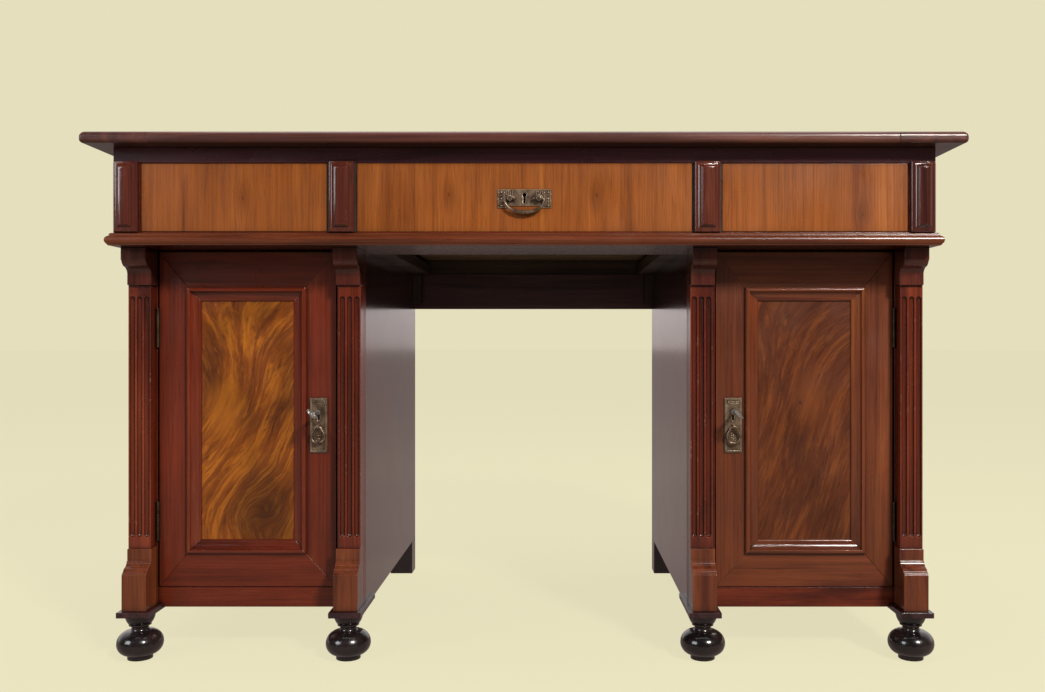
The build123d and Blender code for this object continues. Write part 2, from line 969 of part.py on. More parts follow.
def moulding_section():
    """The panel moulding: X runs inwards from its outer edge, Y stands out."""
    with BuildSketch() as section:
        with BuildLine():
            edge = Line((0, 0), (0, moulding_edge_rise))
            bead = RadiusArc(
                edge @ 1, (moulding_bead_width, moulding_rise), moulding_bead_radius
            )
            crown = Line(bead @ 1, (moulding_lap - moulding_step, moulding_rise))
            step = Line(
                crown @ 1, (moulding_lap - moulding_step, moulding_rise - moulding_step)
            )
            hollow = RadiusArc(
                step @ 1,
                (moulding_width - moulding_sight_width, moulding_sight_rise - panel_recess),
                -moulding_hollow_radius,
            )
            sight = RadiusArc(
                hollow @ 1,
                (moulding_width, moulding_sight_edge - panel_recess),
                moulding_sight_radius,
            )
            Polyline(
                sight @ 1,
                (moulding_width, -panel_recess),
                (moulding_lap, -panel_recess),
                (moulding_lap, 0),
                (0, 0),
            )
        make_face()
    return section.sketch


def moulding_bar(length):
    """One side of the panel moulding, along X, its outer edge at Y=0, facing +Z."""
    with BuildPart() as bar:
        with BuildSketch(Plane(origin=(-length, 0, 0), x_dir=(0, 1, 0), z_dir=(1, 0, 0))):
            add(moulding_section())
        extrude(amount=2 * length)
        for end in (-1, 1):
            split(
                bisect_by=Plane(origin=(end * length / 2, 0, 0), z_dir=(end, 1, 0)),
                keep=Keep.BOTTOM,
            )
    return bar.part


opening_x = (frame_inside_lock, frame_inside_hinge)
opening_z = (frame_inside_bottom, frame_inside_top)
door_x = (door_lock_edge, door_hinge_edge)
door_z = (door_bottom, door_top)


def keyhole_cut(x, z, y_range):
    """Cut a keyhole along Y: a round hole with a slot below it."""
    depth = y_range[1] - y_range[0]
    with BuildSketch(Plane.XZ.offset(-y_range[1])) as keyhole:
        with Locations((x, z)):
            Circle(keyhole_radius)
        with Locations((x, z - keyhole_slot_length / 2)):
            Rectangle(keyhole_slot_width, keyhole_slot_length)
    extrude(keyhole.sketch, amount=depth, mode=Mode.SUBTRACT)


def door_frame(hand):
    """Four members, mitred at the corners, with the pocket for the lock."""
    members = (
        ((door_x[0], door_z[0]), (door_x[1], door_z[0]), (opening_x[1], opening_z[0]),
         (opening_x[0], opening_z[0])),
        ((door_x[0], door_z[1]), (door_x[1], door_z[1]), (opening_x[1], opening_z[1]),
         (opening_x[0], opening_z[1])),
        ((door_x[0], door_z[0]), (door_x[0], door_z[1]), (opening_x[0], opening_z[1]),
         (opening_x[0], opening_z[0])),
        ((door_x[1], door_z[0]), (door_x[1], door_z[1]), (opening_x[1], opening_z[1]),
         (opening_x[1], opening_z[0])),
    )
    solids = []
    for number, corners in enumerate(members):
        with BuildPart() as member:
            with BuildSketch(Plane.XZ.offset(-stile_back)):
                with BuildLine():
                    Polyline([(hand * x, z) for x, z in corners], close=True)
                make_face()
            extrude(amount=door_thickness)
            if number == 2:
                add_block(
                    both(hand, door_lock_edge, door_lock_edge + lock_length),
                    (lock_front, stile_back),
                    (keyhole_level - lock_height / 2, keyhole_level + lock_height / 2),
                    mode=Mode.SUBTRACT,
                )
                keyhole_cut(hand * escutcheon_x, keyhole_level, (door_front, lock_front))
        solids.append(member.part)
    return Part(solids)


def door_moulding(hand):
    """Four mitred bars around the panel, lapping over the edge of the frame."""
    width = opening_x[1] - opening_x[0] + 2 * moulding_lap
    height = opening_z[1] - opening_z[0] + 2 * moulding_lap
    middle_x = hand * (opening_x[0] + opening_x[1]) / 2
    middle_z = (opening_z[0] + opening_z[1]) / 2
    solids = []
    for turn, length, reach in ((0, width, height), (90, height, width)):
        for flip in (0, 180):
            place = Plane(
                origin=(middle_x, door_front, middle_z), x_dir=(1, 0, 0), z_dir=(0, -1, 0)
            )
            bar = place * Rot(0, 0, turn + flip) * Pos(0, -reach / 2, 0) * moulding_bar(length)
            solids.append(bar)
    return Part(solids)


def knuckle(z_range, outer_radius, inner_radius=0):
    """One knuckle of a hinge barrel on the hinge's own axis."""
    middle = (z_range[0] + z_range[1]) / 2
    with Locations((0, 0, middle)):
        Cylinder(outer_radius, z_range[1] - z_range[0])
        if inner_radius:
            Cylinder(inner_radius, z_range[1] - z_range[0], mode=Mode.SUBTRACT)


hinge_third = hinge_leaf_length / 3
leaf_start = hinge_leaf_gap / 2
leaf_y = (0, hinge_axis_reach + hinge_leaf_width)

# The door's leaf ends in the middle knuckle, which turns on the pin.
with BuildPart() as moving_leaf:
    knuckle((-hinge_third / 2, hinge_third / 2), hinge_barrel_radius)
    add_block(
        (-leaf_start - hinge_leaf_thickness, -leaf_start),
        leaf_y,
        (-hinge_third / 2, hinge_third / 2),
    )
    add_block(
        (-leaf_start - hinge_leaf_thickness, -leaf_start),
        (hinge_axis_reach + hinge_leaf_relief, leaf_y[1]),
        (-hinge_leaf_length / 2, hinge_leaf_length / 2),
    )
    Cylinder(hinge_pin_radius + hinge_pin_clearance, hinge_leaf_length, mode=Mode.SUBTRACT)

# The fixed leaf ends in the two outer knuckles and keeps the pin.
with BuildPart() as fixed_leaf:
    for end in (-1, 1):
        outer_knuckle = sorted(
            (end * (hinge_third / 2 + hinge_knuckle_gap), end * hinge_leaf_length / 2)
        )
        knuckle(outer_knuckle, hinge_barrel_radius)
        add_block((leaf_start, leaf_start + hinge_leaf_thickness), leaf_y, outer_knuckle)
    add_block(
        (leaf_start, leaf_start + hinge_leaf_thickness),
        (hinge_axis_reach + hinge_leaf_relief, leaf_y[1]),
        (-hinge_leaf_length / 2, hinge_leaf_length / 2),
    )
    Cylinder(hinge_pin_radius, hinge_leaf_length)

with BuildPart() as escutcheon_blank:
    Box(
        escutcheon_width, escutcheon_thickness, escutcheon_height,
        align=(Align.CENTER, Align.MAX, Align.MIN),
    )
    add_block(
        (-escutcheon_width / 2, escutcheon_width / 2),
        (-escutcheon_thickness - escutcheon_border_rise, -escutcheon_thickness),
        (0, escutcheon_height),
    )
    add_block(
        (
            -escutcheon_width / 2 + escutcheon_border,
            escutcheon_width / 2 - escutcheon_border,
        ),
        (-escutcheon_thickness - escutcheon_border_rise, -escutcheon_thickness),
        (escutcheon_border, escutcheon_height - escutcheon_border),
        mode=Mode.SUBTRACT,
    )


# Half of the ring is a small top arc and a large bottom arc joined by their tangent.
ring_tangent_angle = degrees(
    asin((ring_bottom_radius - ring_top_radius) / (ring_drop - ring_top_radius))
)

with BuildPart() as pull_ring:
    with BuildLine(Plane.XZ) as ring_half:
        top_arc = CenterArc((0, -ring_top_radius), ring_top_radius, 90, ring_tangent_angle - 90)
        bottom_arc = CenterArc(
            (0, -ring_drop), ring_bottom_radius, -90, 90 + ring_tangent_angle
        )
        Line(top_arc @ 1, bottom_arc @ 1)
    with BuildSketch(Plane.YZ):
        Circle(ring_wire_radius)
    sweep(path=ring_half.wires()[0])
    mirror(about=Plane.YZ)

key_bow_y = escutcheon_front - key_shank_length + key_bow_length
bit_y = lock_front + lock_thickness / 2

with BuildPart() as key:
    with Locations(
        Location((0, (key_bow_y + bit_y + key_bit_width / 2) / 2, 0), (90, 0, 0))
    ):
        Cylinder(key_shank_radius, bit_y + key_bit_width / 2 - key_bow_y)
    with BuildSketch(Plane.XY.offset(-key_bow_thickness / 2)):
        with Locations((0, key_bow_y - key_bow_length / 2 + key_bow_bar / 2)):
            Ellipse(key_bow_width / 2, key_bow_length / 2)
            Ellipse(
                key_bow_width / 2 - key_bow_bar,
                key_bow_length / 2 - key_bow_bar,
                mode=Mode.SUBTRACT,
            )
    extrude(amount=key_bow_thickness)
    with Locations(Location((0, escutcheon_front - key_collar_distance, 0), (90, 0, 0))):
        Cylinder(key_collar_radius, key_collar_length)
    add_block(
        (0, key_bit_length),
        (bit_y - key_bit_width / 2, bit_y + key_bit_width / 2),
        (-key_bit_thickness / 2, key_bit_thickness / 2),
    )

for side, hand in hands:
    save(door_frame(hand), f"{side}_door_frame")
    save(door_moulding(hand), f"{side}_door_moulding")

    with BuildPart() as door_panel:
        add_block(
            both(hand, *opening_x), (panel_front, panel_front + panel_thickness), opening_z
        )
    save(door_panel.part, f"{side}_door_panel")

    with BuildPart() as door_hinge_leaves:
        for level in hinge_levels:
            with Locations((hinge_axis_x, hinge_axis_y, level)):
                add(moving_leaf.part)
    leaves = door_hinge_leaves.part if hand > 0 else mirror(door_hinge_leaves.part, Plane.YZ)
    save(leaves, f"{side}_door_hinge_leaves")

    with BuildPart() as escutcheon:
        with Locations((hand * escutcheon_x, door_front, escutcheon_bottom)):
            add(escutcheon_blank.part)
        keyhole_cut(
            hand * escutcheon_x,
            keyhole_level,
            (escutcheon_front - keyhole_cut_overrun, door_front),
        )
        eye_x = (
            hand * escutcheon_x - ring_eye_width / 2,
            hand * escutcheon_x + ring_eye_width / 2,
        )
        add_block(
            eye_x,
            (ring_axis_y, escutcheon_front),
            (ring_level - ring_eye_radius, ring_level + ring_eye_radius),
        )
        with Locations(
            Location((hand * escutcheon_x, ring_axis_y, ring_level), (0, 90, 0))
        ):
            Cylinder(ring_eye_radius, ring_eye_width)
            Cylinder(
                ring_wire_radius + ring_hole_clearance, 2 * ring_eye_width, mode=Mode.SUBTRACT
            )
    save(escutcheon.part, f"{side}_escutcheon")

    with BuildPart() as ring_pull:
        with Locations((hand * escutcheon_x, ring_axis_y, ring_level)):
            add(pull_ring.part)
    save(ring_pull.part, f"{side}_ring_pull")

    with BuildPart() as door_key:
        with Locations(
            Location((hand * escutcheon_x, 0, keyhole_level), (0, key_rest_angle, 0))
        ):
            add(key.part)
    save(door_key.part, f"{side}_key")

    with BuildPart() as lock_case:
        case_x = (door_lock_edge, door_lock_edge + lock_length)
        case_z = (keyhole_level - lock_height / 2, keyhole_level + lock_height / 2)
        add_block(both(hand, *case_x), (lock_front, stile_back), case_z)
        add_block(
            both(hand, case_x[0] + lock_wall, case_x[1] - lock_wall),
            (lock_front + lock_wall, stile_back - lock_wall),
            (case_z[0] + lock_wall, case_z[1] - lock_wall),
            mode=Mode.SUBTRACT,
        )
        add_block(
            both(hand, case_x[0], case_x[0] + lock_wall),
            (
                bolt_y - bolt_thickness / 2 - bolt_clearance,
                bolt_y + bolt_thickness / 2 + bolt_clearance,
            ),
            (
                bolt_level - bolt_height / 2 - bolt_clearance,
                bolt_level + bolt_height / 2 + bolt_clearance,
            ),
            mode=Mode.SUBTRACT,
        )
        keyhole_cut(
            hand * escutcheon_x,
            keyhole_level,
            (
                lock_front - keyhole_cut_overrun,
                lock_front + lock_wall + keyhole_cut_overrun,
            ),
        )
    save(lock_case.part, f"{side}_lock_case")

    with BuildPart() as lock_bolt:
        add_block(
            both(
                hand,
                door_lock_edge + bolt_clearance,
                door_lock_edge + bolt_clearance + bolt_length,
            ),
            (bolt_y - bolt_thickness / 2, bolt_y + bolt_thickness / 2),
            (bolt_level - bolt_height / 2, bolt_level + bolt_height / 2),
        )
    save(lock_bolt.part, f"{side}_lock_bolt")

with BuildPart() as hinge_fixed_leaves:
    for level in hinge_levels:
        with Locations((hinge_axis_x, hinge_axis_y, level)):
            add(fixed_leaf.part)
    mirror(about=Plane.YZ)
save(hinge_fixed_leaves.part, "hinge_fixed_leaves")

# ---------------------------------------------------------------- Drawers

front_bottom = drawer_floor + drawer_gap
bottom_board_z = (
    front_bottom + drawer_bottom_level,
    front_bottom + drawer_bottom_level + drawer_bottom_thickness,
)
drawer_openings = (
    ("left", -side_opening_end, -side_opening_start),
    ("centre", -centre_opening_half, centre_opening_half),
    ("right", side_opening_start, side_opening_end),
)

for side, opening_start, opening_end in drawer_openings:
    start = opening_start + drawer_gap
    end = opening_end - drawer_gap
    inside = (start + drawer_side_thickness, end - drawer_side_thickness)

    with BuildPart() as drawer_front:
        add_block((start, end), (drawer_face, drawer_front_rear), (front_bottom, drawer_top))
        for edge, inner in ((start, inside[0]), (end, inside[1])):
            add_block(
                (edge, inner),
                (drawer_front_rear - drawer_lap, drawer_front_rear),
                (front_bottom, front_bottom + drawer_side_height),
                mode=Mode.SUBTRACT,
            )
        add_block(
            inside,
            (drawer_front_rear - drawer_groove_depth, drawer_front_rear),
            bottom_board_z,
            mode=Mode.SUBTRACT,
        )
        if side == "centre":
            add_block(
                (-drawer_lock_width / 2, drawer_lock_width / 2),
                (drawer_lock_front, drawer_front_rear),
                (drawer_top - drawer_lock_height, drawer_top),
                mode=Mode.SUBTRACT,
            )
            keyhole_cut(0, drawer_keyhole_level, (drawer_face, drawer_lock_front))
    save(drawer_front.part, f"{side}_drawer_front")

    with BuildPart() as drawer_box:
        for edge, inner in ((start, inside[0]), (end, inside[1])):
            add_block(
                (edge, inner),
                (drawer_front_rear - drawer_lap, drawer_rear),
                (front_bottom, front_bottom + drawer_side_height),
            )
        add_block(
            (inside[0] - drawer_groove_depth, inside[1] + drawer_groove_depth),
            (drawer_front_rear - drawer_lap, drawer_rear),
            bottom_board_z,
            mode=Mode.SUBTRACT,
        )
    sides_part = drawer_box.part
    with BuildPart() as drawer_back:
        add_block(
            inside,
            (drawer_rear - drawer_back_thickness, drawer_rear),
            (bottom_board_z[1], front_bottom + drawer_side_height),
        )
    save(Part([sides_part, drawer_back.part]), f"{side}_drawer_sides_and_back")

    with BuildPart() as drawer_bottom:
        add_block(
            (inside[0] - drawer_groove_depth, inside[1] + drawer_groove_depth),
            (drawer_front_rear, drawer_rear),
            bottom_board_z,
        )
        add_block(
            inside,
            (drawer_front_rear - drawer_groove_depth, drawer_front_rear),
            bottom_board_z,
        )
    save(drawer_bottom.part, f"{side}_drawer_bottom")

# ---------------------------------------------------------------- Centre drawer brass

plate_bottom = bail_level + plate_middle_above_bail - plate_height / 2

with BuildPart() as handle_plate:
    ear_start = plate_width / 2 - plate_ear_width
    add_block(
        (-plate_width / 2, plate_width / 2),
        (plate_front, drawer_face),
        (plate_bottom, plate_bottom + plate_height),
    )
    for hand in (-1, 1):
        add_block(
            (hand * ear_start, hand * plate_width / 2),
            (plate_front, drawer_face),
            (plate_bottom - plate_ear_drop, plate_bottom),
        )
    keyhole_cut(0, drawer_keyhole_level, (plate_front - keyhole_cut_overrun, drawer_face))
    for hand in (-1, 1):
        post_x = hand * bail_post_spacing / 2
        with Locations(
            Location((post_x, plate_front - bail_post_length / 2, bail_level), (90, 0, 0))
        ):
            Cylinder(bail_post_radius, bail_post_length)
        with Locations(Location((post_x, bail_axis_y, bail_level), (0, 90, 0))):
            Cylinder(
                bail_wire_radius + bail_hole_clearance, 4 * bail_post_radius, mode=Mode.SUBTRACT
            )
save(handle_plate.part, "drawer_handle_plate")

shoulder = bail_width / 2
bail_turn = 2 * bail_wire_radius
bail_end_x = bail_post_spacing / 2 - bail_end_length / 2
bail_plane = Plane(origin=(0, bail_axis_y, bail_level), x_dir=(1, 0, 0), z_dir=(0, -1, 0))

with BuildPart() as bail_handle:
    with BuildLine(bail_plane) as bail_path:
        right_end = Line((bail_end_x, 0), (shoulder - bail_turn, 0))
        RadiusArc(right_end @ 1, (shoulder, -bail_turn), bail_turn)
        EllipticalCenterArc(
            (0, -bail_turn), shoulder, bail_drop - bail_turn, start_angle=180, arc_size=180
        )
        left_turn = RadiusArc((-shoulder, -bail_turn), (-shoulder + bail_turn, 0), bail_turn)
        Line(left_turn @ 1, (-bail_end_x, 0))
    with BuildSketch(Plane(origin=(bail_end_x, bail_axis_y, bail_level), z_dir=(1, 0, 0))):
        Circle(bail_wire_radius)
    sweep(path=bail_path.wires()[0])
save(bail_handle.part, "bail_handle")

lock_z = (drawer_top - drawer_lock_height, drawer_top)

with BuildPart() as drawer_lock_case:
    add_block(
        (-drawer_lock_width / 2, drawer_lock_width / 2),
        (drawer_lock_front, drawer_front_rear),
        lock_z,
    )
    add_block(
        (-drawer_lock_width / 2 + lock_wall, drawer_lock_width / 2 - lock_wall),
        (drawer_lock_front + lock_wall, drawer_front_rear - lock_wall),
        (lock_z[0] + lock_wall, lock_z[1] - lock_wall),
        mode=Mode.SUBTRACT,
    )
    add_block(
        drawer_bolt_slot_x,
        drawer_bolt_slot_y,
        (lock_z[1] - lock_wall, lock_z[1]),
        mode=Mode.SUBTRACT,
    )
    keyhole_cut(
        0,
        drawer_keyhole_level,
        (
            drawer_lock_front - keyhole_cut_overrun,
            drawer_lock_front + lock_wall + keyhole_cut_overrun,
        ),
    )
save(drawer_lock_case.part, "drawer_lock_case")

with BuildPart() as drawer_lock_bolt:
    add_block(
        (-drawer_bolt_width / 2, drawer_bolt_width / 2),
        (
            drawer_bolt_y - drawer_bolt_thickness / 2,
            drawer_bolt_y + drawer_bolt_thickness / 2,
        ),
        (drawer_top - drawer_bolt_length, drawer_top - bolt_clearance),
    )
save(drawer_lock_bolt.part, "drawer_lock_bolt")
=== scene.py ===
import json
import math

import bmesh
import bpy
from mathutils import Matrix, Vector


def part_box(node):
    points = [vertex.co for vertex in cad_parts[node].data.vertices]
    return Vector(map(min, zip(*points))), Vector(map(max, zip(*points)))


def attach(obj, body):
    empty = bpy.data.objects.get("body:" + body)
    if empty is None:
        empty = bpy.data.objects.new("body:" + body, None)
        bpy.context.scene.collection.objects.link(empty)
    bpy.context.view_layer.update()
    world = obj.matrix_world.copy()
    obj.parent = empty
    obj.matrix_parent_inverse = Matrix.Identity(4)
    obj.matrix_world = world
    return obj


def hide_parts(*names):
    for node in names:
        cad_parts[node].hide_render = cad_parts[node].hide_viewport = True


# ------------------------------------------------------------------ Frame

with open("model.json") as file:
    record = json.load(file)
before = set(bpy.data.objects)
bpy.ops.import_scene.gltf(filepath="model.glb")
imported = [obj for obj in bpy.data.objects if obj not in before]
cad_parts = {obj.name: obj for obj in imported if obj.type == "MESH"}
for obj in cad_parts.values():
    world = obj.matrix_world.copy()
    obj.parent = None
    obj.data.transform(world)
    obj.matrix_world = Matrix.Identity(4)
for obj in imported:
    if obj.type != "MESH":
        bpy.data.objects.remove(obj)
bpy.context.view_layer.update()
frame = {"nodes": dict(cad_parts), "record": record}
nodes = frame["nodes"]
record = frame["record"]
body_of_node = {
    node: body for body, members in record["behaviour"]["bodies"].items() for node in members
}
slot_of_node = {part["node"]: part["material_slot"] for part in record["subparts"]}

desk_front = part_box("top_panel")[0][1]

# ------------------------------------------------------------------ Shader helpers


# Samples that the rounding and crevice nodes take at each point.
NODE_SAMPLES = 6
# How open a point must be to count as deep in a crevice or as fully open.
CREVICE_DEEP = 0.35
CREVICE_OPEN = 0.92


class Shader:
    """A thin layer over a node tree, so that a material reads as a list of steps."""

    def __init__(self, name):
        self.material = bpy.data.materials.new(name)
        self.material.use_nodes = True
        self.tree = self.material.node_tree
        self.tree.nodes.clear()
        self.output = self.tree.nodes.new("ShaderNodeOutputMaterial")
        self.surface = self.tree.nodes.new("ShaderNodeBsdfPrincipled")
        self.link(self.surface.outputs[0], self.output.inputs["Surface"])
        self.position = self.tree.nodes.new("ShaderNodeTexCoord").outputs["Object"]

    def link(self, source, target):
        self.tree.links.new(source, target)

    def plug(self, socket, value):
        """Give a socket a linked output, a number or a colour."""
        if isinstance(value, bpy.types.NodeSocket):
            self.link(value, socket)
        elif isinstance(value, (tuple, list)) and len(value) == 3 and socket.type == "RGBA":
            socket.default_value = (*value, 1)
        else:
            socket.default_value = value

    def set(self, **values):
        """Set sockets of the surface shader; underscores stand for spaces."""
        for name, value in values.items():
            self.plug(self.surface.inputs[name.replace("_", " ")], value)

    def scaled(self, scale, offset=(0, 0, 0), source=None, turn=(0, 0, 0)):
        mapping = self.tree.nodes.new("ShaderNodeMapping")
        self.plug(mapping.inputs["Vector"], source or self.position)
        mapping.inputs["Scale"].default_value = scale
        mapping.inputs["Location"].default_value = offset
        mapping.inputs["Rotation"].default_value = turn
        return mapping.outputs[0]

    def noise(self, vector, scale=1.0, detail=3.0, roughness=0.5, distortion=0.0, colour=False):
        node = self.tree.nodes.new("ShaderNodeTexNoise")
        self.plug(node.inputs["Vector"], vector)
        node.inputs["Scale"].default_value = scale
        node.inputs["Detail"].default_value = detail
        node.inputs["Roughness"].default_value = roughness
        node.inputs["Distortion"].default_value = distortion
        return node.outputs["Color" if colour else "Fac"]

    def ramp(self, value, stops, smooth=False):
        node = self.tree.nodes.new("ShaderNodeValToRGB")
        self.plug(node.inputs["Fac"], value)
        if smooth:
            node.color_ramp.interpolation = "EASE"
        elements = node.color_ramp.elements
        while len(elements) < len(stops):
            elements.new(0.5)
        for element, (place, colour) in zip(elements, stops):
            element.position = place
            if isinstance(colour, (int, float)):
                colour = (colour, colour, colour)
            element.color = (*colour, 1)
        return node.outputs["Color"]

    def mix(self, factor, first, second, blend="MIX"):
        node = self.tree.nodes.new("ShaderNodeMix")
        node.data_type = "RGBA"
        node.blend_type = blend
        self.plug(node.inputs[0], factor)
        self.plug(node.inputs[6], first)
        self.plug(node.inputs[7], second)
        return node.outputs[2]

    def math(self, operation, first, second=0.0, third=0.0, clamp=False):
        node = self.tree.nodes.new("ShaderNodeMath")
        node.operation = operation
        node.use_clamp = clamp
        for socket, value in zip(node.inputs, (first, second, third)):
            self.plug(socket, value)
        return node.outputs[0]

    def vector_math(self, operation, first, second):
        node = self.tree.nodes.new("ShaderNodeVectorMath")
        node.operation = operation
        self.plug(node.inputs[0], first)
        self.plug(node.inputs[1], second)
        return node.outputs[0]

    def length(self, vector):
        node = self.tree.nodes.new("ShaderNodeVectorMath")
        node.operation = "LENGTH"
        self.link(vector, node.inputs[0])
        return node.outputs["Value"]

    def separate(self, vector):
        node = self.tree.nodes.new("ShaderNodeSeparateXYZ")
        self.plug(node.inputs[0], vector)
        return node.outputs

    def combine(self, x=0.0, y=0.0, z=0.0):
        node = self.tree.nodes.new("ShaderNodeCombineXYZ")
        for socket, value in zip(node.inputs, (x, y, z)):
            self.plug(socket, value)
        return node.outputs[0]

    def span(self, value, start, end, low=0.0, high=1.0, smooth=False):
        """Map a value between start and end to a value between low and high."""
        node = self.tree.nodes.new("ShaderNodeMapRange")
        if smooth:
            node.interpolation_type = "SMOOTHSTEP"
        self.plug(node.inputs["Value"], value)
        for name, number in (
            ("From Min", start), ("From Max", end), ("To Min", low), ("To Max", high)
        ):
            node.inputs[name].default_value = number
        return node.outputs["Result"]

    def bump(self, height, strength, distance=0.001, normal=None):
        node = self.tree.nodes.new("ShaderNodeBump")
        node.inputs["Strength"].default_value = strength
        node.inputs["Distance"].default_value = distance
        self.plug(node.inputs["Height"], height)
        if normal:
            self.plug(node.inputs["Normal"], normal)
        return node.outputs["Normal"]

    def sharp_edges(self, radius, low, high):
        """One on sharp edges and nought on flats, from how far a bevel turns the normal."""
        bevel = self.tree.nodes.new("ShaderNodeBevel")
        bevel.samples = NODE_SAMPLES
        bevel.inputs["Radius"].default_value = radius
        geometry = self.tree.nodes.new("ShaderNodeNewGeometry")
        alike = self.tree.nodes.new("ShaderNodeVectorMath")
        alike.operation = "DOT_PRODUCT"
        self.link(bevel.outputs[0], alike.inputs[0])
        self.link(geometry.outputs["Normal"], alike.inputs[1])
        return self.span(alike.outputs["Value"], high, low)

    def crevices(self, distance, darkest):
        """A grey factor: one in the open, down to the darkest in grooves and corners."""
        hollow = self.tree.nodes.new("ShaderNodeAmbientOcclusion")
        hollow.samples = NODE_SAMPLES
        hollow.inputs["Distance"].default_value = distance
        return self.span(hollow.outputs["AO"], CREVICE_DEEP, CREVICE_OPEN, darkest, 1.0)


# ------------------------------------------------------------------ Wood

# The grain is drawn this many times finer across the fibres than along them.
GRAIN_SCALES = {"X": (1, 14, 14), "Y": (14, 1, 14), "Z": (14, 14, 1)}

# Polish that every wood shares.
POLISH_SPECULAR = 0.36
COAT_ROUGHNESS = 0.14
COAT_IOR = 1.5

# Where polish wears, and how far painted shade with dirt reaches into grooves and corners, as
# distances in metres, and the worn colours. The edge rub lightens edges, partly as rubbed polish
# and partly as a painted highlight.
SHADE_AND_GRIME_REACH = 0.011
EDGE_WEAR_AND_HIGHLIGHT_REACH = 0.0016
ARRIS_SHEEN_REACH = 0.0009
CHIPPED_WOOD = (0.36, 0.21, 0.13)
EDGE_RUB_AND_HIGHLIGHT = 0.35

# Grain bends within KNOT_BEND knot sizes of a knot, and darkens within KNOT_SHADE sizes.
# The knot and its shade are longer along the grain, by one over KNOT_LENGTHENING.
KNOT_BEND = 7
KNOT_BEND_AMOUNT = 0.85
KNOT_SHADE = 6
KNOT_SHADE_AMOUNT = 0.42
KNOT_CORE_AMOUNT = 0.8
KNOT_LENGTHENING = 0.45


def grain_offset(seed):
    """Each board shows another stretch of the same procedural tree."""
    return (seed * 1.37 % 7, seed * 2.11 % 9, seed * 0.73 % 5)


